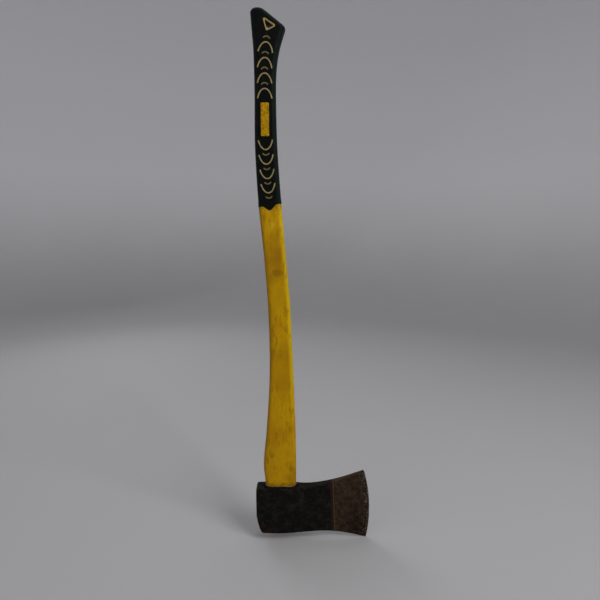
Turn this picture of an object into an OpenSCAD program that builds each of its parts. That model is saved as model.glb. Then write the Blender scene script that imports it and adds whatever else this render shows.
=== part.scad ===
// Fire axe: a forged single-bit head with a flat poll, on a moulded handle with a rubber grip.
// +Z runs along the handle, +X points toward the cutting edge, Y goes through the thickness.
// The origin is on the head's end face, on the centre line of the eye.

/* [Overall] */
// Length from the head's end face to the crown of the knob
overall_l = 911; // [740:1:1100]

/* [Head] */
// Height of the head along the handle
head_h = 90; // [75:1:110]
// Distance from the eye's centre to the flat poll face
poll_reach = 45; // [40:1:55]
// Distance from the eye's centre to the middle of the cutting edge
bit_reach = 168; // [140:1:200]
// Thickness of the head across the eye
head_t = 32; // [30:1:38]
// Thickness of the head at the poll face
poll_t = 27; // [22:1:30]
// Rounding of the poll's upper and side corners
poll_r = 5; // [3:0.5:8]
// How far the poll's lower corner falls away, along the head
poll_fall_w = 12; // [6:0.5:16]
// Height over which the poll's lower corner falls away
poll_fall_h = 34; // [12:1:40]
// How far the heel of the bit rises above the head
heel_rise = 33; // [20:1:45]
// How far the toe of the bit drops below the head
toe_drop = 17; // [8:1:25]
// Radius of the cutting edge seen from the side
edge_r = 300; // [200:5:400]
// Width of the ground bevel behind the cutting edge
bevel_w = 14; // [8:1:25]
// Thickness left at the cutting edge
edge_t = 0.8; // [0.5:0.1:2]

/* [Eye] */
// Length of the eye, from poll side to bit side
eye_l = 62; // [54:1:66]
// Width of the eye across the head
eye_w = 23; // [19:0.1:25]
// Gap left for resin at each side of the tongue
eye_side_gap = 1.75; // [1:0.25:2.5]
// Gap left for resin at each end of the tongue
eye_end_gap = 3; // [2:0.25:4]
// Depth of the resin's surface below the end face
resin_recess = 1.5; // [0.5:0.5:4]
// Thickness of the resin over the end of the tongue
resin_cap_t = 3; // [2:0.5:6]
// Depth of the soft seal in the handle side of the eye
seal_depth = 6; // [4:0.5:12]
// Height of the seal's bead above the head's upper face
seal_rise = 4.5; // [1:0.5:6]

/* [Handle] */
// Width of the shoulder just above the head
shoulder_w = 59.5; // [56:0.5:66]
// Height of the shoulder's widest point above the head
shoulder_rise = 45; // [30:1:60]
// Width of the shaft at its waist
waist_w = 37; // [31:0.5:45]
// How far the lower shaft bows toward the bit
bow_x = 3.5; // [0:0.5:8]
// How far the hand grip sits back toward the poll side
sweep_x = 20; // [10:0.5:26]
// Thickness of the shaft above the shoulder
shaft_t = 24; // [22:0.5:28]
// Rounding of the shaft's long edges
shaft_r = 7.5; // [5:0.5:9]
// Thickness of the jacket over the core rod where it goes through the eye
rod_wall = 1.75; // [1.5:0.25:4]
// Distance of the core rod's upper end below the crown
rod_top_drop = 61; // [55:1:90]

/* [Grip] */
// Length of the grip, from its lower edge at the sides to the crown
grip_l = 306; // [280:1:340]
// Width of the grip where the hand closes on it
grip_w = 34.5; // [28:0.5:42]
// Thickness of the handle through the grip
grip_t = 28; // [24:0.5:32]
// Thickness of the rubber
rubber_t = 2.4; // [1.5:0.1:3.5]
// Thickness of the rubber over the knob's end
rubber_end_t = 5; // [3:0.5:8]
// How far the tongue in the grip's lower edge hangs down
tongue_dip = 8; // [4:0.5:12]
// Half width of the tongue in the grip's lower edge
tongue_half_w = 13; // [8:0.5:15]
// How much steeper than square to the handle the grip's lower edge runs, in degrees
lip_slant = 5; // [0:0.5:8]
// Width of the knob level with its tip
knob_w = 53; // [46:0.5:60]
// How far the knob's tip lies below the crown
knob_tip_drop = 29; // [22:1:36]
// Width of the slanting end between the crown and the tip
slant_w = 38; // [28:0.5:40]

/* [Raised pattern] */
// Number of large crescents in each row
crescent_count = 4; // [2:1:4]
// Distance from one crescent to the next
crescent_pitch = 23; // [20:0.5:25]
// Distance from the large crescents to the side of the grip
crescent_margin = 5.25; // [4:0.25:8]
// Width of a large crescent's line at its middle
crescent_line = 1.9; // [1.2:0.1:2.6]
// Half width of a small crescent
small_half_w = 5.5; // [4:0.5:7]
// Depth of a large crescent, from its crown to its ends
crescent_depth = 16; // [12:0.5:17]
// Depth of a small crescent
small_depth = 3.6; // [2.5:0.1:5]
// Width of a small crescent's line at its middle
small_line = 1.3; // [1:0.1:2]
// Distance from a large crescent's crown to its small crescent's crown
small_step = 8.2; // [6:0.2:10]
// Width of the plain window between the rows
window_w = 13.5; // [8:0.5:18]
// Length of the plain window between the rows
window_l = 52; // [30:1:60]
// Distance of the window's middle below the crown of the knob
window_drop = 169.5; // [150:0.5:185]
// Distance from the window to the crown of the first large crescent of each row
row_gap = 22; // [18:0.5:25]

/* [Hang hole] */
// Radius of the largest circle that fits in the three-sided hole
hole_r = 4; // [3.2:0.1:5]
// Width of the rim around the hole
hole_rim = 2.4; // [1.5:0.1:3]

/* [Hidden] */
$fn = 64;

// Heights that the pieces share
tongue_z = resin_recess + resin_cap_t;
seal_z = head_h - seal_depth;
shoulder_z = head_h + shoulder_rise;
grip_z = overall_l - grip_l;
rod_top_z = overall_l - rod_top_drop;
hole_z = overall_l - knob_tip_drop;

// The tongue that fills the eye
tongue_l = eye_l - 2 * eye_end_gap;
tongue_t = eye_w - 2 * eye_side_gap;
tongue_x = 1;

// Raised pattern on the grip
crescent_half_w = grip_w / 2 - crescent_margin;
crescent_turn = 68;
window_z = overall_l - window_drop;
upper_row_z = window_z + window_l / 2 + row_gap;
lower_row_z = window_z - window_l / 2 - row_gap;

// Core rod: straight, leaning back so that it stays inside the curved jacket
rod_d = tongue_t - 2 * rod_wall;
rod_foot_x = tongue_x + bow_x + 2.5;
rod_head_x = -1 - sweep_x;

// Bit outline
edge_mid_z = head_h / 2 - 7;
edge_x = bit_reach - edge_r;
heel_power = 1.5;
toe_power = 2;
heel_start_x = bit_reach * 0.25;
toe_start_x = bit_reach * 0.36;
head_slack = 10;

// Steps of the lofts and rounded corners
corner_steps = 6;
ring_steps = 6;
station_step = 18;
knob_step = 10;

// ---- Curves ----

// Slope of a list of [position, value] points at point i
function slope(p, i) =
    let (a = max(i - 1, 0), b = min(i + 1, len(p) - 1))
    (p[b][1] - p[a][1]) / (p[b][0] - p[a][0]);

// Index of the stretch of the list that holds position s
function stretch(p, s, i = 0) = i >= len(p) - 2 || s < p[i + 1][0] ? i : stretch(p, s, i + 1);

// Value of the smooth curve through the points at position s
function curve(p, s) =
    let (i = stretch(p, s), h = p[i + 1][0] - p[i][0], t = (s - p[i][0]) / h)
    (2 * t ^ 3 - 3 * t ^ 2 + 1) * p[i][1] + (t ^ 3 - 2 * t ^ 2 + t) * h * slope(p, i)
    + (3 * t ^ 2 - 2 * t ^ 3) * p[i + 1][1] + (t ^ 3 - t ^ 2) * h * slope(p, i + 1);

// Points of a smooth corner from a to c, drawn toward b
function corner(a, b, c) =
    [for (i = [0:corner_steps]) let (t = i / corner_steps)
        (1 - t) ^ 2 * a + 2 * t * (1 - t) * b + t ^ 2 * c];

// ---- Handle shape ----

// Height at fraction f of the shaft, between the shoulder and the grip
function shaft_z(f) = shoulder_z + f * (grip_z - shoulder_z);

// Side-view centre line of the handle: [height, x]
centre_line = [
    [0, tongue_x],
    [head_h, tongue_x],
    [shoulder_z, -0.5],
    [shaft_z(0.14), bow_x - 1.5],
    [shaft_z(0.33), bow_x],
    [shaft_z(0.48), bow_x - 1],
    [shaft_z(0.65), bow_x - 4],
    [shaft_z(0.83), bow_x - 10.5],
    [grip_z, 6 - sweep_x],
    [overall_l - 211, 0.5 - sweep_x],
    [overall_l - 136, -sweep_x],
    [overall_l - 91, 0.5 - sweep_x],
    [overall_l - 61, 2.5 - sweep_x],
    [overall_l - 31, 6 - sweep_x],
    [overall_l + 4, 11.5 - sweep_x],
];

// Side-view width of the handle: [height, width]
width_line = [
    [0, tongue_l],
    [head_h, tongue_l],
    [shoulder_z, shoulder_w],
    [shaft_z(0.14), shoulder_w - 7],
    [shaft_z(0.33), waist_w + 6.5],
    [shaft_z(0.48), waist_w + 2.5],
    [shaft_z(0.65), waist_w + 1],
    [shaft_z(0.83), waist_w],
    [grip_z, grip_w + 3.5],
    [overall_l - 211, grip_w + 2],
    [overall_l - 136, grip_w],
    [overall_l - 91, grip_w + 1.5],
    [overall_l - 61, grip_w + 7],
    [overall_l - 31, knob_w],
    [overall_l + 4, knob_w + 16],
];

// Thickness of the handle: [height, thickness]
thickness_line = [
    [0, tongue_t],
    [head_h, tongue_t],
    [shoulder_z, shaft_t - 2],
    [shaft_z(0.33), shaft_t],
    [grip_z, grip_t - 1],
    [overall_l + 4, grip_t],
];

// Rounding of the handle's long edges: [height, radius]
rounding_line = [
    [0, tongue_t / 2],
    [head_h, tongue_t / 2],
    [shoulder_z, shaft_r + 0.5],
    [overall_l + 4, shaft_r],
];

function centre_x(z) = curve(centre_line, z);

// Lean of the centre line at height z, in degrees from +Z toward +X
function lean(z) = atan2(centre_x(z + 1) - centre_x(z - 1), 2);

// Heights from low to high, closer together in the knob
function stations(low, high) =
    let (knob_z = overall_l - 100,
        shaft_n = ceil((min(knob_z, high) - low) / station_step),
        knob_n = ceil((high - knob_z) / knob_step))
    concat(
        [for (i = [0:shaft_n - 1]) low + i * (knob_z - low) / shaft_n],
        [for (i = [0:knob_n]) knob_z + i * (high - knob_z) / knob_n]);

// One ring of the handle at height z, lying inset below the outer surface
function ring(z, inset) =
    let (a = curve(width_line, z) / 2 - inset,
        b = curve(thickness_line, z) / 2 - inset,
        r = min(curve(rounding_line, z) - inset * 0.7, b - 0.5))
    [for (q = [0:3], i = [0:ring_steps])
        let (turn = 90 * (q + i / ring_steps),
            sx = q == 0 || q == 3 ? 1 : -1,
            sy = q < 2 ? 1 : -1)
        [centre_x(z) + sx * (a - r) + r * cos(turn), sy * (b - r) + r * sin(turn), z]];

// Closed solid through rings of equal length
module loft(rings) {
    n = len(rings[0]);
    m = len(rings);
    sides = [for (k = [0:m - 2], i = [0:n - 1], half = [0, 1])
        let (a = k * n + i, b = k * n + (i + 1) % n)
        half == 0 ? [a, a + n, b] : [b, a + n, b + n]];
    foot = [for (i = [0:n - 1]) i];
    top = [for (i = [n - 1:-1:0]) (m - 1) * n + i];
    polyhedron(points = [for (r = rings, p = r) p], faces = concat(sides, [foot, top]));
}

// A flat outline in X and Z, carried through the whole thickness
module through(depth = 2 * grip_t) {
    rotate([90, 0, 0]) linear_extrude(height = depth, center = true) children();
}

// Everything below the knob's end face, with the crown lowered by drop
module below_knob_end(drop = 0) {
    crown = overall_l - drop;
    left = curve(centre_line, overall_l - 8) - curve(width_line, overall_l - 8) / 2;
    tip = [centre_x(hole_z) + knob_w / 2 + 1.5, crown - knob_tip_drop];
    slant = [tip[0] - slant_w, crown];
    flat = slant[0] - left;
    through() polygon(concat(
        [[left - 40, 0], [left - 40, crown - 34]],
        corner([left - 0.5, crown - 12], [left - 0.5, crown], [left + 0.65 * flat, crown]),
        corner([slant[0] - 0.27 * flat, crown], slant, slant + 0.2 * (tip - slant)),
        corner(slant + 0.85 * (tip - slant), tip, tip + [-1, -6]),
        [tip + [40, -12], [tip[0] + 40, 0]]));
}

// The handle's outer surface from the tongue to the knob
module handle_outside() {
    intersection() {
        loft([for (z = stations(tongue_z, overall_l + 4)) ring(z, 0)]);
        below_knob_end();
    }
}

// The jacket's surface under the rubber
module under_rubber() {
    intersection() {
        loft([for (z = stations(grip_z - 3 * tongue_dip, overall_l + 4)) ring(z, rubber_t)]);
        below_knob_end(rubber_end_t);
    }
}

// The part of the handle that the rubber covers, above a lower edge with a rounded tongue
module rubber_zone() {
    edge = [for (i = [-8:8]) let (u = i / 8)
        [u * tongue_half_w, -tongue_dip * (1 + cos(180 * u)) / 2]];
    translate([centre_x(grip_z), 0, grip_z]) rotate([0, lean(grip_z) - lip_slant, 0])
        through() polygon(concat(
            [[-100, grip_l + 50], [-100, 0]], edge, [[100, 0], [100, grip_l + 50]]));
}

// ---- Raised pattern that shows through the rubber ----

// Point at share u of half an arc of an ellipse with its crown at the origin
function arc_point(u, half_w, depth) =
    let (turn = u * crescent_turn)
    [half_w * sin(turn) / sin(crescent_turn), -depth * (1 - cos(turn)) / (1 - cos(crescent_turn))];

// A crescent with its crown at the origin, opening downward, whose line thins toward its ends
module crescent(half_w, depth, line) {
    n = 6;
    outer = [for (i = [-n:n]) arc_point(i / n, half_w, depth)];
    inner = [for (i = [n:-1:-n]) arc_point(i / n, half_w - line / 2, depth - line) - [0, line]];
    polygon(concat(outer, inner));
}

// A large crescent and its small companion beyond the crown
module crescent_pair() {
    crescent(crescent_half_w, crescent_depth, crescent_line);
    translate([0, small_step]) crescent(small_half_w, small_depth, small_line);
}

// Places flat children on the handle's centre line at height z, leaning with it
module on_centre(z) {
    translate([centre_x(z), 0, z]) rotate([0, lean(z), 0]) through() children();
}

// Corner-rounded outline whose three sides touch a circle of radius r
module three_sided(r, corner_r) {
    sides = [-64, 58, 196];
    polygon([for (k = [0:2], i = [0:corner_steps])
        let (a = sides[k], span = (sides[(k + 1) % 3] - a + 360) % 360,
            reach = (r - corner_r) / cos(span / 2), turn = a + span * i / corner_steps)
        reach * [cos(a + span / 2), sin(a + span / 2)] + corner_r * [cos(turn), sin(turn)]]);
}

module at_hole() {
    translate([centre_x(hole_z) + 1, 0, hole_z]) through() children();
}

module raised_pattern() {
    for (i = [0:crescent_count - 1]) {
        on_centre(upper_row_z + i * crescent_pitch) crescent_pair();
        on_centre(lower_row_z - i * crescent_pitch) mirror([0, 1]) crescent_pair();
    }
    on_centre(window_z) square([window_w, window_l], center = true);
    at_hole() three_sided(hole_r + hole_rim, 2.5);
}

module hang_hole() {
    at_hole() three_sided(hole_r, 1);
}

// ---- Core rod ----

module rod(from_z, to_z) {
    rise = rod_top_z - tongue_z;
    tilt = atan2(rod_head_x - rod_foot_x, rise);
    intersection() {
        translate([rod_foot_x, 0, tongue_z]) rotate([0, tilt, 0])
            translate([0, 0, -rod_d]) cylinder(d = rod_d, h = rise + 2 * rod_d);
        translate([-overall_l / 2, -rod_d, from_z]) cube([overall_l, 2 * rod_d, to_z - from_z]);
    }
}

module core_rod() {
    color([0.85, 0.82, 0.66]) rod(tongue_z, rod_top_z);
}

// ---- Head ----

// Upper or lower edge of the bit, sweeping away from the body by up to reach
function sweep_points(start_x, end_x, base_z, reach, power) =
    [for (i = [0:8]) let (t = i / 8) [start_x + t * (end_x - start_x), base_z + reach * t ^ power]];

// Side view of the head
module head_side() {
    heel_x = bit_reach - 16;
    toe_x = bit_reach - 8;
    heel = sweep_points(heel_start_x, heel_x, head_h, heel_rise * 0.92, heel_power);
    toe = sweep_points(toe_start_x, toe_x, 0, -toe_drop * 0.92, toe_power);
    heel_end = heel[len(heel) - 1];
    toe_end = toe[len(toe) - 1];
    polygon(concat(
        corner([poll_fall_w - poll_reach, 0], [poll_fall_w / 2 - poll_reach, 0], [-poll_reach, poll_fall_h]),
        corner([-poll_reach, head_h - poll_r], [-poll_reach, head_h], [poll_r - poll_reach, head_h]),
        heel,
        corner(heel_end + [1, 0.5], heel_end + [5, 2.5], heel_end + [9, -14]),
        [[bit_reach + 2, heel_end[1] - 34], [bit_reach + 2, toe_end[1] + 24]],
        corner(toe_end + [6, 9], toe_end + [5, -1.5], toe_end + [1, -0.3]),
        [for (i = [len(toe) - 1:-1:0]) toe[i]]));
}

// Half thickness of the head along X
half_line = [
    [-poll_reach, poll_t / 2],
    [-22, head_t * 0.48],
    [-4, head_t / 2],
    [14, head_t * 0.48],
    [bit_reach * 0.24, head_t * 0.365],
    [bit_reach * 0.46, head_t * 0.225],
    [bit_reach * 0.6, head_t * 0.165],
    [bit_reach + 2, 2],
];

// View of the head from above
module head_plan() {
    n = 20;
    start_x = poll_r - poll_reach;
    cheek = [for (i = [0:n]) let (x = start_x + i / n * (bit_reach + 2 - start_x)) [x, curve(half_line, x)]];
    face_y = curve(half_line, start_x);
    round_off = corner([-poll_reach, face_y - poll_r], [-poll_reach, face_y], [start_x, face_y]);
    half = concat([for (i = [0:corner_steps - 1]) round_off[i]], cheek);
    polygon(concat(half, [for (i = [len(half) - 1:-1:0]) [half[i][0], -half[i][1]]]));
}

// Disc whose rim is the cutting edge and its ground bevel
module edge_lens() {
    shoulder = head_t * 0.09;
    translate([edge_x, 0, edge_mid_z]) rotate([90, 0, 0]) rotate_extrude($fn = 180) polygon([
        [0, -head_t], [edge_r * 0.6, -head_t],
        [edge_r - bevel_w, -shoulder], [edge_r, -edge_t / 2],
        [edge_r, edge_t / 2], [edge_r - bevel_w, shoulder],
        [edge_r * 0.6, head_t], [0, head_t],
    ]);
}

// The eye's outline, carried from one height to another
module eye_slot(from_z, to_z) {
    translate([0, 0, from_z]) linear_extrude(height = to_z - from_z) {
        square([eye_l - eye_w, eye_w], center = true);
        for (side = [-1, 1]) translate([side * (eye_l - eye_w) / 2, 0]) circle(d = eye_w);
    }
}

module axe_head() {
    color([0.16, 0.16, 0.15]) difference() {
        intersection() {
            through(2 * head_t) head_side();
            translate([0, 0, -2 * toe_drop]) linear_extrude(height = head_h + 4 * heel_rise) head_plan();
            edge_lens();
        }
        eye_slot(-head_slack, head_h + head_slack);
    }
}

// ---- Eye filling ----

module eye_resin() {
    color([0.62, 0.55, 0.4]) difference() {
        eye_slot(resin_recess, seal_z);
        handle_outside();
    }
}

module eye_seal() {
    color([0.2, 0.19, 0.17]) difference() {
        eye_slot(seal_z, head_h + seal_rise);
        handle_outside();
    }
}

// ---- Handle ----

module handle_jacket() {
    color([0.95, 0.76, 0.08]) difference() {
        handle_outside();
        difference() {
            rubber_zone();
            under_rubber();
            raised_pattern();
        }
        rod(tongue_z - 1, rod_top_z);
        hang_hole();
    }
}

module grip() {
    color([0.07, 0.13, 0.12]) difference() {
        intersection() {
            handle_outside();
            rubber_zone();
        }
        under_rubber();
        raised_pattern();
    }
}

axe_head();
core_rod();
handle_jacket();
grip();
eye_resin();
eye_seal();
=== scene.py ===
"""Looks of a fire axe: a forged head on a moulded handle with a rubber grip.

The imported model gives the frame: +Z runs along the handle, +X points toward the cutting edge and
Y goes through the thickness. Lengths in the classes are in millimetres unless a comment says
otherwise, and every mesh is written in metres.
"""

import logging
import math
from dataclasses import dataclass, field
from enum import Enum
from typing import Iterable, Sequence

import bmesh
import bpy
import numpy as np
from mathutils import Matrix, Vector, noise


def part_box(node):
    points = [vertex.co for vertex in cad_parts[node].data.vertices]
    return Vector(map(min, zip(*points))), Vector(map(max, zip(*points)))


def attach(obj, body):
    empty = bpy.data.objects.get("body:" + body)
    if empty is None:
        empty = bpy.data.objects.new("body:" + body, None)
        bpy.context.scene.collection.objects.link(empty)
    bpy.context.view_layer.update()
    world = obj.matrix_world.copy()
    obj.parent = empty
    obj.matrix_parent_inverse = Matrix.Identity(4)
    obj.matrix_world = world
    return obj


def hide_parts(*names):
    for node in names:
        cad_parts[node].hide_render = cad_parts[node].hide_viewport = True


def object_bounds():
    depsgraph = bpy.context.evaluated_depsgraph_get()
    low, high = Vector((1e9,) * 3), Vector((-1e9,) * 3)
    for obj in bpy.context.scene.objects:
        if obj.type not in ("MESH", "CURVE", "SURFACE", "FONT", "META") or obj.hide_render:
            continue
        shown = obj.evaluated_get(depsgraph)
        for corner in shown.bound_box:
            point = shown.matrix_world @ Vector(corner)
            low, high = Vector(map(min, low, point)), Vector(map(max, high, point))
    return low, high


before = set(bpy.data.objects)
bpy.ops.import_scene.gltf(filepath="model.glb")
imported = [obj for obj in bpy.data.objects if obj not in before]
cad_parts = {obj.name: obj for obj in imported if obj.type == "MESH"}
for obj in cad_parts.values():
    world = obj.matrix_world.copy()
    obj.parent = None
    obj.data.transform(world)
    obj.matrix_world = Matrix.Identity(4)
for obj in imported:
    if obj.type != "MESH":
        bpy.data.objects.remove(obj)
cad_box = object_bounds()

LOG = logging.getLogger("fire_axe")
MM = 0.001
BODY = "root"
SEAL_RISE = 4.5

Colour = tuple[float, float, float]
Point = tuple[float, float]

EYE_SIZE: Point = (62.0, 23.0)
# Directions that the hang hole's three sides face, in degrees.
HOLE_SIDES = (-64, 58, 196)
# A resin bead's shape, and the least and most that a bead is stretched.
BEAD_SHAPE = (1.5, 1.1, 0.62)
BEAD_LEAST = (0.35, 0.35, 0.4)
BEAD_MOST = (1.9, 1.2, 1.1)


def node_box(name: str) -> tuple[np.ndarray, np.ndarray]:
    """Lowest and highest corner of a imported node.

    Args:
        name: the node's name.

    Returns:
        The two corners in millimetres.
    """
    low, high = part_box(name)
    return np.array(low) / MM, np.array(high) / MM


# ---- Shader graphs ----


class Wire:
    """An output socket that Python's operators work on."""

    def __init__(self, graph: "Graph", socket: bpy.types.NodeSocket) -> None:
        """Keeps the graph and the socket."""
        self.graph = graph
        self.socket = socket

    def _math(self, operation: str, first: object, second: object = 0.0) -> "Wire":
        """A Math node on two values or wires."""
        node = self.graph.node("ShaderNodeMath", {"operation": operation}, {0: first, 1: second})
        return Wire(self.graph, node.outputs[0])

    def __add__(self, other: object) -> "Wire":
        """Sum."""
        return self._math("ADD", self, other)

    def __radd__(self, other: object) -> "Wire":
        """Sum with the wire on the right."""
        return self._math("ADD", other, self)

    def __sub__(self, other: object) -> "Wire":
        """Difference."""
        return self._math("SUBTRACT", self, other)

    def __rsub__(self, other: object) -> "Wire":
        """Difference with the wire on the right."""
        return self._math("SUBTRACT", other, self)

    def __mul__(self, other: object) -> "Wire":
        """Product."""
        return self._math("MULTIPLY", self, other)

    def __rmul__(self, other: object) -> "Wire":
        """Product with the wire on the right."""
        return self._math("MULTIPLY", other, self)

    def __pow__(self, other: object) -> "Wire":
        """Power."""
        return self._math("POWER", self, other)

    def peak(self, other: object) -> "Wire":
        """The larger of two values."""
        return self._math("MAXIMUM", self, other)

    def within(self, low: float, high: float) -> "Wire":
        """A smooth 0 to 1 step as the value goes from low to high; low may be the larger one."""
        node = self.graph.node(
            "ShaderNodeMapRange",
            {"interpolation_type": "SMOOTHSTEP"},
            {"Value": self, "From Min": low, "From Max": high},
        )
        return Wire(self.graph, node.outputs["Result"])


class Nodes:
    """A node tree under construction."""

    def __init__(self, tree: bpy.types.NodeTree) -> None:
        """Keeps the tree."""
        self.tree = tree

    def node(self, kind: str, settings: dict | None = None, inputs: dict | None = None) -> bpy.types.Node:
        """Adds any node.

        Args:
            kind: the node's type.
            settings: its properties, set before the inputs.
            inputs: values, sockets or wires by the input's name or number.

        Returns:
            The new node.
        """
        node = self.tree.nodes.new(kind)
        for key, value in (settings or {}).items():
            setattr(node, key, value)
        for key, value in (inputs or {}).items():
            if isinstance(value, Wire):
                value = value.socket
            if isinstance(value, bpy.types.NodeSocket):
                self.tree.links.new(value, node.inputs[key])
            else:
                node.inputs[key].default_value = value
        return node


class Graph(Nodes):
    """The node tree of one material."""

    def __init__(self, name: str) -> None:
        """Starts an empty material.

        Args:
            name: the material's name.
        """
        self.material = bpy.data.materials.new(name)
        self.material.use_nodes = True
        super().__init__(self.material.node_tree)
        self.tree.nodes.clear()
        self.output = self.tree.nodes.new("ShaderNodeOutputMaterial")
        self.place = self.node("ShaderNodeTexCoord").outputs["Object"]

    def attribute(self, name: str) -> Wire:
        """A float that the mesh carries."""
        node = self.node("ShaderNodeAttribute", {"attribute_name": name})
        return Wire(self, node.outputs["Fac"])

    def axis(self, name: str) -> Wire:
        """One coordinate of the place, in metres."""
        node = self.node("ShaderNodeSeparateXYZ", inputs={0: self.place})
        return Wire(self, node.outputs[name])

    def stretched(self, scale: Sequence[float], turn_y: float = 0.0) -> bpy.types.NodeSocket:
        """The place, scaled and turned for a pattern.

        Args:
            scale: three factors.
            turn_y: angle about Y, in radians.

        Returns:
            The vector's socket.
        """
        inputs = {"Vector": self.place, "Rotation": (0.0, turn_y, 0.0), "Scale": tuple(scale)}
        return self.node("ShaderNodeMapping", inputs=inputs).outputs[0]

    def noise(
        self,
        grain: float,
        detail: float = 3.0,
        rough: float = 0.55,
        offset: float = 0.0,
        vector: bpy.types.NodeSocket | None = None,
    ) -> Wire:
        """Cloudy noise.

        Args:
            grain: size of its blotches in millimetres.
            detail: number of finer layers.
            rough: strength of the finer layers.
            offset: moves the pattern so that no two are alike.
            vector: where the pattern is read; the place if not given.

        Returns:
            A value around 0.5.
        """
        inputs = {
            "Vector": vector or self.place,
            "W": offset,
            "Scale": 1.0 / (grain * MM),
            "Detail": detail,
            "Roughness": rough,
        }
        node = self.node("ShaderNodeTexNoise", {"noise_dimensions": "4D"}, inputs)
        return Wire(self, node.outputs[0])

    def cells(self, grain: float) -> Wire:
        """Distance to the nearest of scattered points, 0 at a point.

        Args:
            grain: distance between the points in millimetres.

        Returns:
            The distance as a share of the grain.
        """
        inputs = {"Vector": self.place, "Scale": 1.0 / (grain * MM)}
        return Wire(self, self.node("ShaderNodeTexVoronoi", inputs=inputs).outputs["Distance"])

    def scratches(self, turn_y: float, length: float, width: float, offset: float = 0.0) -> Wire:
        """Thin streaks at one angle in the side view.

        Args:
            turn_y: the streaks' angle, in radians.
            length: their length in millimetres.
            width: their width in millimetres.
            offset: moves the pattern.

        Returns:
            1 on a streak and 0 elsewhere.
        """
        vector = self.stretched((width / length, 1.0, 1.0), turn_y)
        streak = self.noise(width, 1.0, 0.4, offset, vector).within(0.66, 0.72)
        return streak * self.noise(length, 1.0, 0.5, offset + 3.0).within(0.48, 0.6)

    def mix(self, factor: object, first: object, second: object) -> bpy.types.NodeSocket:
        """A colour between two colours.

        Args:
            factor: 0 for the first colour and 1 for the second.
            first: a colour or a socket.
            second: a colour or a socket.

        Returns:
            The colour's socket.
        """
        colours = {
            key: (*value, 1.0) if isinstance(value, tuple) else value
            for key, value in ((6, first), (7, second))
        }
        node = self.node("ShaderNodeMix", {"data_type": "RGBA"}, {0: factor, **colours})
        return node.outputs[2]

    def bump(
        self, height: Wire, depth: float, below: bpy.types.NodeSocket | None = None
    ) -> bpy.types.NodeSocket:
        """A bumped normal.

        Args:
            height: 0 to 1.
            depth: the height's full step in millimetres.
            below: an earlier normal to add to.

        Returns:
            The normal's socket.
        """
        inputs = {"Height": height, "Strength": 1.0, "Distance": depth * MM}
        if below is not None:
            inputs["Normal"] = below
        return self.node("ShaderNodeBump", inputs=inputs).outputs[0]

    def surface(self, **inputs: object) -> None:
        """Ends the graph in a Principled surface with these inputs, where _ stands for a space."""
        named = {key.replace("_", " "): value for key, value in inputs.items()}
        shader = self.node("ShaderNodeBsdfPrincipled", inputs=named)
        self.tree.links.new(shader.outputs[0], self.output.inputs["Surface"])


# ---- Finishes ----


@dataclass(frozen=True)
class Finish:
    """A surface finish that makes one material."""

    name: str

    def wire(self, graph: Graph) -> None:
        """Builds the finish's nodes in a graph."""
        raise NotImplementedError

    def material(self) -> bpy.types.Material:
        """The finish's material, made once."""
        found = bpy.data.materials.get(self.name)
        if found is not None:
            return found
        graph = Graph(self.name)
        self.wire(graph)
        return graph.material


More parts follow.
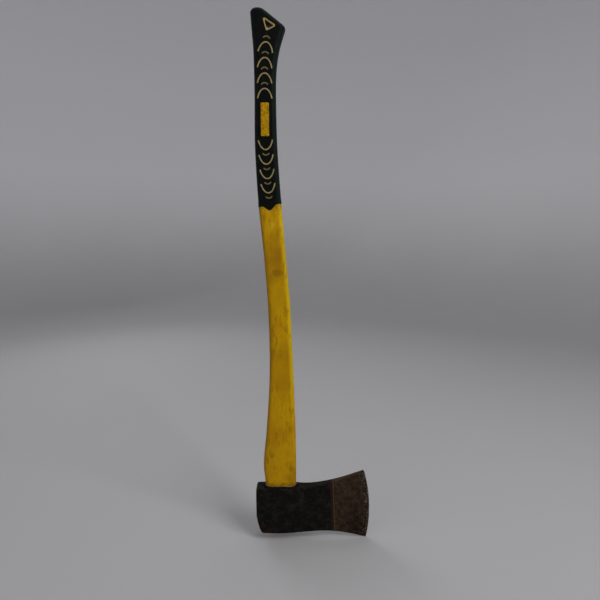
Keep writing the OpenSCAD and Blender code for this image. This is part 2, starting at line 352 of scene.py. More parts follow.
@dataclass(frozen=True)
class WornPaint(Finish):
    """Old black paint on forged steel, ground bare and rusty toward the cutting edge.

    Args:
        line_x: where the paint ends, at the middle height.
        line_lean: how far that line moves back for each millimetre of height.
        middle: the head's middle height.
        edge_centre: centre of the cutting edge's curve in the side view.
        edge_radius: radius of that curve.
    """

    line_x: float
    line_lean: float
    middle: float
    edge_centre: Point
    edge_radius: float
    paint: Colour = (0.0042, 0.0038, 0.0034)
    chalk: Colour = (0.0290, 0.0295, 0.0235)
    red: Colour = (0.0270, 0.0095, 0.0080)
    rust: Colour = (0.0340, 0.0180, 0.0120)
    dark_rust: Colour = (0.0105, 0.0060, 0.0050)
    steel: Colour = (0.0620, 0.0410, 0.0240)
    bright: Colour = (0.3000, 0.2500, 0.1800)

    def wire(self, graph: Graph) -> None:
        """Builds paint, chips, bare steel and rust."""
        x, z = graph.axis("X"), graph.axis("Z")
        rim = graph.attribute("rim")
        wander = (graph.noise(7, 3, 0.6, 1.0) - 0.5) * (1.4 * MM)
        past_line = x + (z - self.middle * MM) * self.line_lean + wander - self.line_x * MM
        bare = past_line.within(-0.0004, 0.0004)

        blotch = graph.noise(16, 4, 0.62, 2.0)
        flecks = graph.noise(3.2, 3, 0.65, 4.0)
        near_rim = rim.within(3.5, 0.3)
        chips = graph.noise(2.4, 4, 0.7, 5.0) * 0.6 + graph.noise(9, 2, 0.5, 6.0) * 0.4 + near_rim * 0.07
        chips = chips.within(0.63, 0.67)
        poll_low = x.within(-0.004, -0.040) * z.within(0.034, 0.004)
        patch = (graph.noise(9, 3, 0.6, 7.0) + poll_low * 0.17).within(0.56, 0.70)

        chalky = blotch.within(0.46, 0.64) * 0.45 + flecks.within(0.52, 0.66) * 0.55
        paint = graph.mix(chalky * 0.7, self.paint, self.chalk)
        paint = graph.mix(patch * 0.55, paint, self.red)

        mottle = graph.noise(8, 5, 0.7, 9.0)
        fine = graph.noise(1.7, 3, 0.65, 8.0)
        steel = graph.mix(mottle.within(0.40, 0.62), self.steel, self.rust)
        steel = graph.mix(fine.within(0.46, 0.64) * 0.55, steel, self.dark_rust)
        lower = z.within(0.085, 0.005) * x.within(0.098, 0.150)
        steel = graph.mix(lower * (mottle.within(0.30, 0.60) * 0.7 + 0.2), steel, self.dark_rust)
        edge_x, edge_z = self.edge_centre
        across = graph.node("ShaderNodeCombineXYZ", inputs={0: x - edge_x * MM, 2: z - edge_z * MM})
        reach = graph.node("ShaderNodeVectorMath", {"operation": "LENGTH"}, {0: across.outputs[0]})
        to_edge = self.edge_radius * MM - Wire(graph, reach.outputs["Value"])
        ground = (to_edge + (graph.noise(5, 4, 0.65, 10.0) - 0.5) * 0.014).within(0.0150, 0.0050)
        dots = graph.noise(2.5, 3, 0.7, 12.0).within(0.50, 0.60)
        honed = to_edge.within(0.0016, 0.0004)
        steel = graph.mix(ground * (1 - dots) * 0.70, steel, self.dark_rust)
        steel = graph.mix(ground * dots * 0.40, steel, self.bright)
        steel = graph.mix(honed * 0.30, steel, self.bright)
        streaks = graph.scratches(1.25, 14, 0.35, 1.0).peak(graph.scratches(1.9, 9, 0.3, 2.0))
        steel = graph.mix(streaks * 0.22, steel, self.bright)
        pits = graph.cells(2.6).within(0.34, 0.12) * graph.noise(6, 2, 0.5, 11.0).within(0.44, 0.58)
        steel = graph.mix(pits * (ground * 0.5 + 0.4), steel, self.paint)
        seam = past_line.within(-0.0001, 0.0003) * past_line.within(0.0018, 0.0008)
        steel = graph.mix(seam * 0.16, steel, self.bright)

        scuffs = graph.scratches(0.4, 18, 0.35, 3.0).peak(graph.scratches(-0.7, 12, 0.3, 4.0))
        paint = graph.mix(scuffs * 0.35, paint, self.chalk)
        paint = graph.mix(chips * 0.7, paint, self.rust)
        edge_line = past_line.within(-0.0062, -0.0036)
        paint = graph.mix(edge_line * 0.85, paint, self.red)
        base = graph.mix(bare, paint, steel)

        metal = bare * (0.40 - pits * 0.3)
        rough = bare * (0.56 + fine * 0.16 + pits * 0.15) + (1 - bare) * (0.60 + chalky * 0.2 + chips * 0.1)
        normal = graph.bump(graph.noise(5, 4, 0.6, 13.0), 0.28)
        normal = graph.bump((1 - bare) * (1 - chips), 0.14, normal)
        normal = graph.bump(1 - pits.peak(streaks * 0.4), 0.22, normal)
        normal = graph.bump(graph.noise(0.7, 2, 0.6, 14.0), 0.06, normal)
        graph.surface(
            Base_Color=base, Metallic=metal, Roughness=rough, Normal=normal, Specular_IOR_Level=0.06
        )


@dataclass(frozen=True)
class GrimyPlastic(Finish):
    """Bright moulded plastic with brown handling marks, scuffs and a fine grain.

    Args:
        disc: middle of the moulding disc in the side view.
        disc_radius: the disc's radius.
        smudges: place, half size and strength of each large mark, as (x, z, half x, half z, strength).
    """

    disc: Point
    disc_radius: float
    body: Colour = (0.56, 0.305, 0.0006)
    deep: Colour = (0.45, 0.225, 0.0005)
    grime: Colour = (0.085, 0.034, 0.003)
    pale: Colour = (0.62, 0.42, 0.02)
    lit: Colour = (0.66, 0.47, 0.0010)
    smudges: tuple[tuple[float, float, float, float, float], ...] = (
        (-4.0, 492.0, 10.0, 8.0, 0.85),
        (-13.0, 484.0, 6.0, 16.0, 0.55),
        (-9.0, 510.0, 14.0, 44.0, 0.40),
        (-2.0, 522.0, 9.0, 22.0, 0.50),
        (-6.0, 549.0, 9.0, 18.0, 0.40),
        (-17.0, 517.0, 4.0, 26.0, 0.50),
        (4.0, 455.0, 12.0, 26.0, 0.22),
        (9.0, 358.0, 11.0, 20.0, 0.28),
        (-14.0, 156.0, 5.0, 6.0, 0.60),
        (-9.0, 178.0, 9.0, 14.0, 0.26),
        (21.0, 129.0, 6.0, 6.0, 0.55),
        (14.0, 112.0, 12.0, 7.0, 0.30),
    )

    def wire(self, graph: Graph) -> None:
        """Builds the body colour with a painted shade over the left half and a painted highlight on the
        right edge, the smudges and the scuffs.
        """
        x, z = graph.axis("X"), graph.axis("Z")
        rim, across = graph.attribute("rim"), graph.attribute("across")
        cloud = graph.noise(38, 3, 0.5, 1.0)
        base = graph.mix(cloud.within(0.38, 0.66), self.body, self.deep)
        # Painted shade: the deep colour darkens the left half toward its edge. Painted highlight: the lit
        # colour brightens the right edge from about 0.2 m up.
        base = graph.mix(across.within(0.1, -1.1) * 0.6, base, self.deep)
        base = graph.mix(across.within(0.60, 0.95) * z.within(0.20, 0.32) * 0.7, base, self.lit)
        disc_x, disc_z = (value * MM for value in self.disc)
        to_disc = ((x - disc_x) ** 2 + (z - disc_z) ** 2) * (1 / (self.disc_radius * MM) ** 2)
        on_disc = to_disc.within(1.25, 0.85) * graph.axis("Y").within(0.0, -0.004)
        base = graph.mix(on_disc * 0.45, base, self.pale)

        broken = graph.noise(7, 5, 0.68, 2.0)
        smudge: Wire | None = None
        for centre_x, centre_z, half_x, half_z, depth in self.smudges:
            beside = ((x - centre_x * MM) * (1 / (half_x * MM))) ** 2
            along_shaft = ((z - centre_z * MM) * (1 / (half_z * MM))) ** 2
            spot = (beside + along_shaft + (broken - 0.5) * 3.6).within(1.9, -0.5) * depth
            smudge = spot if smudge is None else smudge.peak(spot)
        streaky = graph.noise(5, 4, 0.65, 3.0, graph.stretched((1.0, 1.0, 0.28)))
        film = streaky.within(0.48, 0.66) * graph.noise(55, 2, 0.5, 4.0).within(0.36, 0.58)
        dirt = smudge * (0.50 + broken.within(0.38, 0.60) * 0.50)
        dirt = dirt.peak(film * 0.42)
        specks = graph.noise(1.3, 2, 0.6, 5.0).within(0.70, 0.76) * 0.55
        foot = z.within(0.112, 0.094) * broken.within(0.40, 0.58) * 0.65
        collar = z.within(0.594, 0.604) * graph.noise(3, 3, 0.6, 6.0).within(0.40, 0.60) * 0.6
        # Painted shade: the left side's rounded edges are darkened in streaks with the grime colour, so the
        # dirt mask holds both real dirt and this painted shade.
        sides = rim.within(4.5, 0.2) * across.within(0.2, -0.8) * (streaky.within(0.40, 0.60) * 0.35 + 0.25)
        dirt = dirt.peak(specks).peak(foot).peak(collar).peak(sides)
        base = graph.mix(dirt, base, self.grime)

        scuffs = graph.scratches(1.35, 22, 0.32, 1.0).peak(graph.scratches(0.35, 9, 0.26, 2.0))
        scuffs = scuffs.peak(graph.scratches(-1.1, 15, 0.3, 3.0))
        base = graph.mix(scuffs * 0.35, base, self.pale)
        rough = 0.40 + graph.noise(14, 3, 0.6, 7.0) * 0.16 + dirt * 0.22 + scuffs * 0.1
        normal = graph.bump(graph.noise(24, 2, 0.5, 8.0), 0.35)
        normal = graph.bump(graph.noise(0.55, 2, 0.6, 9.0), 0.035, normal)
        normal = graph.bump(1 - scuffs, 0.05, normal)
        graph.surface(Base_Color=base, Roughness=rough, Normal=normal, Specular_IOR_Level=0.10)


@dataclass(frozen=True)
class DustyPlastic(Finish):
    """The raised plastic lines in the grip: the same plastic, rubbed pale and gone grey with dust."""

    body: Colour = (0.38, 0.275, 0.075)
    dust: Colour = (0.25, 0.215, 0.125)
    grime: Colour = (0.045, 0.038, 0.024)
    hole_shade: Colour = (0.030, 0.010, 0.006)

    def wire(self, graph: Graph) -> None:
        """Builds the dusty colour and a painted shade inside the hang hole; the mesh's "faint" says how far
        the lines are rubbed away.
        """
        base = graph.mix(graph.noise(5, 3, 0.6, 1.0).within(0.40, 0.62), self.body, self.dust)
        faint = graph.attribute("faint")
        base = graph.mix(faint * 0.62, base, self.grime)
        worn = graph.noise(1.6, 3, 0.65, 2.0).within(0.54, 0.68)
        base = graph.mix(worn * 0.6, base, self.grime)
        # Painted shade: inside the hang hole, away from the faces, the rim's wall is painted nearly
        # black-brown.
        y = graph.axis("Y")
        inside = (y * y).within(0.0130**2, 0.0110**2)
        base = graph.mix(inside * 0.92, base, self.hole_shade)
        normal = graph.bump(graph.noise(0.6, 2, 0.6, 3.0), 0.05)
        graph.surface(Base_Color=base, Roughness=0.52 + worn * 0.2, Normal=normal, Specular_IOR_Level=0.2)


@dataclass(frozen=True)
class GripRubber(Finish):
    """Dark green-black rubber with dust in its grain and a painted green sheen along its rounded edges,
    where it is also a little smoother.
    """

    body: Colour = (0.0022, 0.0032, 0.0025)
    dust: Colour = (0.0130, 0.0165, 0.0130)
    edge_sheen: Colour = (0.0040, 0.0105, 0.0080)

    def wire(self, graph: Graph) -> None:
        """Builds the rubber's colour with its painted edge sheen, dust and grain."""
        rim = graph.attribute("rim")
        # Painted sheen: the rounded edges are lifted toward a dark green.
        base = graph.mix(rim.within(8.0, 1.0) * 0.85, self.body, self.edge_sheen)
        cloudy = graph.noise(13, 4, 0.6, 1.0).within(0.48, 0.68)
        dusty = cloudy * graph.noise(1.5, 3, 0.6, 2.0).within(0.40, 0.62)
        lint = graph.noise(0.9, 2, 0.6, 3.0).within(0.69, 0.75)
        base = graph.mix((dusty * 0.45).peak(lint * 0.5), base, self.dust)
        scuffs = graph.scratches(1.2, 11, 0.35, 1.0).peak(graph.scratches(0.2, 7, 0.3, 2.0))
        base = graph.mix(scuffs * 0.30, base, self.dust)
        rough = 0.50 + graph.noise(9, 3, 0.6, 4.0) * 0.18 + dusty * 0.14 - rim.within(7.0, 0.0) * 0.07
        normal = graph.bump(graph.noise(0.5, 2, 0.7, 5.0), 0.06)
        normal = graph.bump(graph.noise(8, 2, 0.5, 6.0), 0.20, normal)
        normal = graph.bump(1 - scuffs, 0.05, normal)
        graph.surface(Base_Color=base, Roughness=rough, Normal=normal, Specular_IOR_Level=0.07)


@dataclass(frozen=True)
class CastResin(Finish):
    """Poured resin: amber, cloudy and dirty on top."""

    body: Colour = (0.34, 0.255, 0.125)
    cloud: Colour = (0.47, 0.41, 0.29)
    dirt: Colour = (0.06, 0.045, 0.03)

    def wire(self, graph: Graph) -> None:
        """Builds the cloudy colour with specks of dirt."""
        base = graph.mix(graph.noise(7, 4, 0.6, 1.0).within(0.40, 0.64), self.body, self.cloud)
        soil = graph.noise(3, 4, 0.65, 2.0).within(0.50, 0.66)
        base = graph.mix(soil * 0.75, base, self.dirt)
        bubbles = graph.cells(2.6).within(0.20, 0.08)
        normal = graph.bump(graph.noise(6, 3, 0.5, 3.0), 0.4)
        normal = graph.bump(1 - bubbles, 0.25, normal)
        rough, coat = 0.30 + soil * 0.4, 0.25 - soil * 0.2
        graph.surface(Base_Color=base, Roughness=rough, Normal=normal, Coat_Weight=coat)


@dataclass(frozen=True)
class SoftSeal(Finish):
    """Soft black sealing compound, dull and dusty."""

    body: Colour = (0.006, 0.0055, 0.005)
    dust: Colour = (0.034, 0.029, 0.023)

    def wire(self, graph: Graph) -> None:
        """Builds the seal's colour and its lumpy skin."""
        dusty = graph.noise(2.2, 4, 0.65, 1.0).within(0.46, 0.66)
        base = graph.mix(dusty * 0.6, self.body, self.dust)
        normal = graph.bump(graph.noise(2.4, 3, 0.6, 2.0), 0.3)
        graph.surface(Base_Color=base, Roughness=0.75 + dusty * 0.15, Normal=normal, Specular_IOR_Level=0.08)


@dataclass(frozen=True)
class PulledGlass(Finish):
    """The core: glass strands in resin, drawn out along the rod."""

    body: Colour = (0.56, 0.53, 0.40)
    strand: Colour = (0.72, 0.71, 0.62)
    stain: Colour = (0.30, 0.26, 0.16)

    def wire(self, graph: Graph) -> None:
        """Builds the strands that run along the rod."""
        strands = graph.noise(0.8, 3, 0.6, 1.0, graph.stretched((1.0, 1.0, 0.012)))
        base = graph.mix(strands.within(0.40, 0.62), self.body, self.strand)
        base = graph.mix(graph.noise(20, 3, 0.6, 2.0).within(0.52, 0.7) * 0.4, base, self.stain)
        graph.surface(Base_Color=base, Roughness=0.34 + strands * 0.1, Normal=graph.bump(strands, 0.08))


@dataclass(frozen=True)
class Backdrop(Finish):
    """The pale, even surface of the studio."""

    floor: Colour = (0.40, 0.395, 0.405)
    wall: Colour = (0.80, 0.79, 0.81)

    def wire(self, graph: Graph) -> None:
        """Builds a nearly even colour that is paler up the wall."""
        rise = (graph.axis("Z") + graph.noise(400, 2, 0.5, 1.0) * 0.1).within(-0.1, 1.1)
        base = graph.mix(rise, self.floor, self.wall)
        graph.surface(Base_Color=base, Roughness=0.75, Specular_IOR_Level=0.15)


# ---- Shapes in the side view ----


@dataclass(frozen=True)
class Profile:
    """A smooth curve through (place, value) points."""

    points: tuple[Point, ...]

    def at(self, place: np.ndarray | float) -> np.ndarray:
        """The curve's value at one or more places.

        Args:
            place: where to read the curve.

        Returns:
            The values, in the same arrangement.
        """
        p = np.array(self.points, float)
        s = np.asarray(place, float)
        last = len(p) - 1
        slopes = np.array([
            (p[min(i + 1, last), 1] - p[max(i - 1, 0), 1]) / (p[min(i + 1, last), 0] - p[max(i - 1, 0), 0])
            for i in range(len(p))
        ])
        i = np.clip(np.searchsorted(p[:, 0], s, side="right") - 1, 0, last - 1)
        h = p[i + 1, 0] - p[i, 0]
        t = np.clip((s - p[i, 0]) / h, 0, 1)
        return (
            (2 * t**3 - 3 * t**2 + 1) * p[i, 1]
            + (t**3 - 2 * t**2 + t) * h * slopes[i]
            + (3 * t**2 - 2 * t**3) * p[i + 1, 1]
            + (t**3 - t**2) * h * slopes[i + 1]
        )


def rounded(
    first: Sequence[float], toward: Sequence[float], last: Sequence[float], steps: int = 10
) -> np.ndarray:
    """A smooth corner from first to last, drawn toward a point between them.

    Args:
        first: where the corner starts.
        toward: the point that it is drawn toward.
        last: where it ends.
        steps: number of pieces.

    Returns:
        The corner's points.
    """
    t = np.linspace(0, 1, steps + 1)[:, None]
    a, b, c = (np.array(p, float) for p in (first, toward, last))
    return (1 - t) ** 2 * a + 2 * t * (1 - t) * b + t**2 * c


def even(path: np.ndarray, count: int) -> np.ndarray:
    """A path's points spaced evenly along it.

    Args:
        path: the path's points.
        count: how many points to return.

    Returns:
        The new points.
    """
    return along(path, np.linspace(0, 1, count))


def along(path: np.ndarray, share: np.ndarray) -> np.ndarray:
    """Points at given shares of a path's length.

    Args:
        path: the path's points.
        share: places from 0 to 1.

    Returns:
        One point for each share.
    """
    steps = np.linalg.norm(np.diff(path, axis=0), axis=1)
    length = np.concatenate([[0.0], np.cumsum(steps)])
    where = share * length[-1]
    return np.stack([np.interp(where, length, path[:, k]) for k in range(path.shape[1])], axis=-1)


def distance_to(path: np.ndarray, points: np.ndarray) -> np.ndarray:
    """Distance from points to a path.

    Args:
        path: the path's points, one after another.
        points: an array of points of any arrangement.

    Returns:
        The distances, in the points' arrangement.
    """
    flat = points.reshape(-1, 2)
    best = np.full(len(flat), np.inf)
    for a, b in zip(path[:-1], path[1:]):
        span = b - a
        size = float(span @ span)
        if size < 1e-12:
            continue
        t = np.clip(((flat - a) @ span) / size, 0, 1)
        gap = flat - a - t[:, None] * span
        best = np.minimum(best, np.einsum("ij,ij->i", gap, gap))
    return np.sqrt(best).reshape(points.shape[:-1])


def patch(low: np.ndarray, high: np.ndarray, left: np.ndarray, right: np.ndarray) -> np.ndarray:
    """A grid that fills four joined edges.

    Args:
        low: the first row, from left to right.
        high: the last row, from left to right.
        left: the first column, from low to high.
        right: the last column, from low to high.

    Returns:
        The grid's points, row by row.
    """
    v = ((share_of(left) + share_of(right)) / 2)[:, None, None]
    u = (1 - v) * share_of(low)[None, :, None] + v * share_of(high)[None, :, None]
    ruled = (1 - v) * low[None] + v * high[None]
    crossed = (1 - u) * left[:, None] + u * right[:, None]
    corners = (
        (1 - u) * (1 - v) * low[0] + u * (1 - v) * low[-1] + (1 - u) * v * high[0] + u * v * high[-1]
    )
    return ruled + crossed - corners


def share_of(path: np.ndarray) -> np.ndarray:
    """How far along a path each of its points lies, from 0 to 1."""
    length = np.concatenate([[0.0], np.cumsum(np.linalg.norm(np.diff(path, axis=0), axis=1))])
    return length / length[-1]


def grain_noise(points: np.ndarray, grain: float, seed: float) -> np.ndarray:
    """Smooth noise at 3-D points.

    Args:
        points: the points in millimetres.
        grain: size of the bumps in millimetres.
        seed: moves the pattern.

    Returns:
        Values from about -1 to 1.
    """
    shift = Vector((seed * 17.3, seed * 5.1, seed * 9.7))
    values = [noise.noise(Vector(p) / grain + shift) for p in points.reshape(-1, 3)]
    return np.array(values).reshape(points.shape[:-1])


# ---- Meshes ----


def linked(name: str, data: bpy.types.ID) -> bpy.types.Object:
    """Puts data into the scene as a new object at the origin."""
    thing = bpy.data.objects.new(name, data)
    bpy.context.scene.collection.objects.link(thing)
    return thing


def make_piece(
    name: str, points: np.ndarray, faces: Iterable[Sequence[int]], marks: dict[str, np.ndarray] | None = None
) -> bpy.types.Object:
    """Makes a closed mesh with outward faces.

    Args:
        name: the piece's name.
        points: its points in millimetres.
        faces: its faces as indices of the points.
        marks: floats at each point that the finish reads, by name.

    Returns:
        The new object, at the origin.
    """
    mesh = bpy.data.meshes.new(name)
    mesh.from_pydata((np.asarray(points) * MM).tolist(), [], [list(f) for f in faces])
    for key, values in (marks or {}).items():
        mesh.attributes.new(key, "FLOAT", "POINT").data.foreach_set("value", np.asarray(values, np.float32))
    tidy_mesh(mesh)
    return linked(name, mesh)


def tidy_mesh(mesh: bpy.types.Mesh, merge: float = 0.002, sharp: float = 38.0) -> None:
    """Merges doubles, turns the faces outward and shades the mesh smooth with sharp creases.

    Args:
        mesh: the mesh to change.
        merge: how near two points merge, in millimetres.
        sharp: the angle in degrees from which an edge is sharp.
    """
    form = bmesh.new()
    form.from_mesh(mesh)
    bmesh.ops.remove_doubles(form, verts=form.verts, dist=merge * MM)
    bmesh.ops.dissolve_degenerate(form, edges=form.edges, dist=merge * MM)
    bmesh.ops.recalc_face_normals(form, faces=form.faces)
    form.to_mesh(mesh)
    form.free()
    mesh.polygons.foreach_set("use_smooth", [True] * len(mesh.polygons))
    mesh.set_sharp_from_angle(angle=math.radians(sharp))
    mesh.update()


def tube_faces(count: int, rings: int, capped: bool) -> list[tuple[int, ...]]:
    """Faces through rings of equal length.

    Args:
        count: points in a ring.
        rings: number of rings.
        capped: whether the ends are closed; otherwise the last ring joins the first.

    Returns:
        The faces.
    """
    last = rings - 1 if capped else rings
    faces: list[tuple[int, ...]] = [
        (i * count + k, i * count + (k + 1) % count,
         ((i + 1) % rings) * count + (k + 1) % count, ((i + 1) % rings) * count + k)
        for i in range(last) for k in range(count)
    ]
    if capped:
        faces.append(tuple(range(count - 1, -1, -1)))
        faces.append(tuple(range((rings - 1) * count, rings * count)))
    return faces


def tube(name: str, rings: Sequence[np.ndarray], capped: bool) -> bpy.types.Object:
    """Makes a closed mesh through rings of equal length.

    Args:
        name: the piece's name.
        rings: the points of each ring.
        capped: whether the ends are closed; otherwise the last ring joins the first.

    Returns:
        The new object.
    """
    return make_piece(name, np.concatenate(rings), tube_faces(len(rings[0]), len(rings), capped))


def cut(piece: bpy.types.Object, cutter: bpy.types.Object) -> None:
    """Cuts a closed cutter out of a piece and removes the cutter.

    Args:
        piece: the piece to cut.
        cutter: the closed shape to take away.
    """
    modifier = piece.modifiers.new("cut", "BOOLEAN")
    modifier.operation = "DIFFERENCE"
    modifier.solver = "EXACT"
    modifier.object = cutter
    settle(piece)
    bpy.data.objects.remove(cutter)


def settle(piece: bpy.types.Object) -> None:
    """Turns a piece's modifiers into its plain mesh and tidies it."""
    graph = bpy.context.evaluated_depsgraph_get()
    graph.update()
    mesh = bpy.data.meshes.new_from_object(piece.evaluated_get(graph))
    piece.modifiers.clear()
    piece.data = mesh
    tidy_mesh(mesh)


@dataclass
class Slab:
    """A body whose front and back follow one grid in the side view.

    Args:
        grid: the side view's points, rows by columns by (x, z).
        half: half the thickness at each point.
        wall: (place, swell) across the side walls, from -1 at the front to 1 at the back.
        rim: distance from the outline at each point.
    """

    grid: np.ndarray
    half: np.ndarray
    wall: tuple[Point, ...]
    rim: np.ndarray
    points: np.ndarray = field(init=False)
    faces: list[tuple[int, ...]] = field(init=False)
    point_rim: np.ndarray = field(init=False)
    levels: list[np.ndarray] = field(init=False)

    def __post_init__(self) -> None:
        """Works out the points and the faces."""
        self.rows, self.columns = self.half.shape
        loop = self._outline(self.rows, self.columns)
        flat = self.grid.reshape(-1, 2)
        thick = self.half.reshape(-1)
        front = np.stack([flat[:, 0], -thick, flat[:, 1]], axis=1)
        back = front * (1, -1, 1)
        inner = [w for w in self.wall if -1 < w[0] < 1]
        outward = self._outward(flat[loop])
        sides = []
        for place, swell in inner:
            xz = flat[loop] + outward * swell
            sides.append(np.stack([xz[:, 0], thick[loop] * place, xz[:, 1]], axis=1))
        self.points = np.concatenate([front, back, *sides])
        count = self.rows * self.columns
        between = [2 * count + k * len(loop) + np.arange(len(loop)) for k in range(len(inner))]
        self.levels = [loop, *between, loop + count]
        flat_rim = self.rim.reshape(-1)
        walls = [(1 - abs(place)) * thick[loop] for place, _ in inner]
        self.point_rim = np.concatenate([flat_rim, flat_rim, *walls])
        self.faces = self._faces(True)

    @staticmethod
    def _outline(rows: int, columns: int) -> np.ndarray:
        """Indices round the grid: low row, right column, high row, left column."""
        low = np.arange(columns)
        right = np.arange(1, rows) * columns + columns - 1
        high = (rows - 1) * columns + np.arange(columns - 2, -1, -1)
        left = np.arange(rows - 2, 0, -1) * columns
        return np.concatenate([low, right, high, left])

    @staticmethod
    def _outward(loop: np.ndarray) -> np.ndarray:
        """Outward directions in the side view along a closed loop."""
        tangent = np.roll(loop, -1, axis=0) - np.roll(loop, 1, axis=0)
        tangent /= np.maximum(np.linalg.norm(tangent, axis=1), 1e-9)[:, None]
        return np.stack([tangent[:, 1], -tangent[:, 0]], axis=1)

    def _faces(self, foot: bool) -> list[tuple[int, ...]]:
        """Faces of the front, the back and the walls.

        Args:
            foot: whether the low row's wall is there.

        Returns:
            The faces.
        """
        count = self.rows * self.columns
        faces = []
        for r in range(self.rows - 1):
            for c in range(self.columns - 1):
                a = r * self.columns + c
                ring = (a, a + 1, a + 1 + self.columns, a + self.columns)
                faces.append(ring)
                faces.append(tuple(i + count for i in reversed(ring)))
        start = 0 if foot else self.columns - 1
        size = len(self.levels[0])
        for near, far in zip(self.levels[:-1], self.levels[1:]):
            for k in range(start, size):
                n = (k + 1) % size
                faces.append((int(near[n]), int(near[k]), int(far[k]), int(far[n])))
        return faces

    def foot_ring(self) -> list[int]:
        """Indices round the open foot: front row, right wall, back row, left wall."""
        count = self.rows * self.columns
        front = [int(i) for i in self.levels[0][: self.columns]]
        right = [int(level[self.columns - 1]) for level in self.levels[1:-1]]
        back = [i + count for i in reversed(front)]
        left = [int(level[0]) for level in reversed(self.levels[1:-1])]
        return front + right + back + left

    def open_faces(self) -> list[tuple[int, ...]]:
        """The faces without the foot's wall."""
        return self._faces(False)


# ---- The handle ----


@dataclass
class HandleForm:
    """The handle's outer shape, which the jacket and the grip share."""

    crown: float
    head_top: float
    foot: float
    grip_length: float = 306.0
    shoulder_rise: float = 45.0
    shoulder_width: float = 59.5
    waist_width: float = 37.0
    bow: float = 3.5
    sweep: float = 20.0
    shaft_thickness: float = 24.0
    edge_round: float = 7.5
    tongue_width: float = 56.0
    tongue_thickness: float = 19.5
    tongue_x: float = 1.0
    grip_width: float = 34.5
    grip_thickness: float = 28.0
    knob_width: float = 53.0
    tip_drop: float = 29.0
    slant_width: float = 38.0
    knob_start: float = 66.0
    dip: float = 8.0
    dip_half_width: float = 13.0
    lip_slant: float = math.radians(5.0)
    row_step: float = 3.0
    knob_step: float = 2.2
    lip_reach: float = 34.0

    def __post_init__(self) -> None:
        """Sets up the curves along the handle."""
        self.shoulder = self.head_top + self.shoulder_rise
        self.edge = self.crown - self.grip_length
        top, bow, sweep = self.crown, self.bow, self.sweep
        waist, grip = self.waist_width, self.grip_width
        self.centre = Profile((
            (0, self.tongue_x), (self.head_top, self.tongue_x), (self.shoulder, -0.5),
            (self.shaft(0.14), bow - 1.5), (self.shaft(0.33), bow), (self.shaft(0.48), bow - 1),
            (self.shaft(0.65), bow - 4), (self.shaft(0.83), bow - 10.5), (self.edge, 6 - sweep),
            (top - 211, 0.5 - sweep), (top - 136, -sweep), (top - 91, 0.5 - sweep),
            (top - 61, 2.5 - sweep), (top - 31, 6 - sweep), (top + 4, 11.5 - sweep),
        ))
        self.width = Profile((
            (0, self.tongue_width), (self.head_top, self.tongue_width), (self.shoulder, self.shoulder_width),
            (self.shaft(0.14), self.shoulder_width - 7), (self.shaft(0.33), waist + 6.5),
            (self.shaft(0.48), waist + 2.5), (self.shaft(0.65), waist + 1), (self.shaft(0.83), waist),
            (self.edge, grip + 3.5), (top - 211, grip + 2), (top - 136, grip), (top - 91, grip + 1.5),
            (top - 61, grip + 7), (top - 31, self.knob_width), (top + 4, self.knob_width + 16),
        ))
        self.thickness = Profile((
            (0, self.tongue_thickness), (self.head_top, self.tongue_thickness),
            (self.shoulder, self.shaft_thickness - 2), (self.shaft(0.33), self.shaft_thickness),
            (self.edge, self.grip_thickness - 1), (top + 4, self.grip_thickness),
        ))
        self.rounding = Profile((
            (0, self.tongue_thickness / 2), (self.head_top, self.tongue_thickness / 2),
            (self.shoulder, self.edge_round + 0.5), (top + 4, self.edge_round),
        ))

    def shaft(self, share: float) -> float:
        """Height at a share of the shaft, between the shoulder and the grip's edge."""
        return self.shoulder + share * (self.edge - self.shoulder)

    def lean(self, z: float) -> float:
        """Lean of the centre line at a height, in radians toward +X."""
        return math.atan2(float(self.centre.at(z + 1) - self.centre.at(z - 1)), 2)

    def end_path(self, inset: float, drop: float) -> np.ndarray:
        """The knob's end from its left side over the crown to the tip.

        Args:
            inset: distance inside the outer shape at the sides.
            drop: distance below the crown.

        Returns:
            The path's points.
        """
        crown = self.crown - drop
        high = self.crown - 8
        left = float(self.centre.at(high) - self.width.at(high) / 2) + inset
        tip_z = self.crown - self.tip_drop
        tip = np.array([float(self.centre.at(tip_z)) + self.knob_width / 2 + 1.5 - inset, tip_z - drop])
        slant = np.array([tip[0] - self.slant_width + inset, crown])
        way, flat = tip - slant, slant[0] - left
        path = np.concatenate([
            rounded((left - 0.5, crown - 12), (left - 0.5, crown), (left + 0.65 * flat, crown), 16),
            rounded((slant[0] - 0.27 * flat, crown), slant, slant + 0.2 * way),
            rounded(slant + 0.85 * way, tip, tip + (-1, -6), 16),
        ])
        return self.trim(even(path, 240), inset)

    def trim(self, path: np.ndarray, inset: float) -> np.ndarray:
        """The part of a path between the handle's sides, with its ends on the sides.

        Args:
            path: the path's points, from the left side to the right.
            inset: distance inside the outer shape.

        Returns:
            The path's points.
        """
        off_centre = path[:, 0] - self.centre.at(path[:, 1])
        inside = np.abs(off_centre) < self.width.at(path[:, 1]) / 2 - inset
        kept = path[inside]
        kept[0] = self.side(kept[0, 1], -1, inset)
        kept[-1] = self.side(kept[-1, 1], 1, inset)
        return kept

    def side(self, z: np.ndarray | float, sign: float, inset: float) -> np.ndarray:
        """Points of one side at given heights."""
        z = np.asarray(z, float)
        return np.stack([self.centre.at(z) + sign * (self.width.at(z) / 2 - inset), z], axis=-1)

    def outline(self, low: float, inset: float, drop: float) -> np.ndarray:
        """The side view's outline without its foot.

        Args:
            low: height where it starts on both sides.
            inset: distance inside the outer shape.
            drop: distance below the crown.

        Returns:
            The outline from the left side over the end to the right side.
        """
        end = self.end_path(inset, drop)
        left = self.side(np.linspace(low, end[0, 1], 220), -1, inset)
        right = self.side(np.linspace(end[-1, 1], low, 220), 1, inset)
        return np.concatenate([left, end, right])

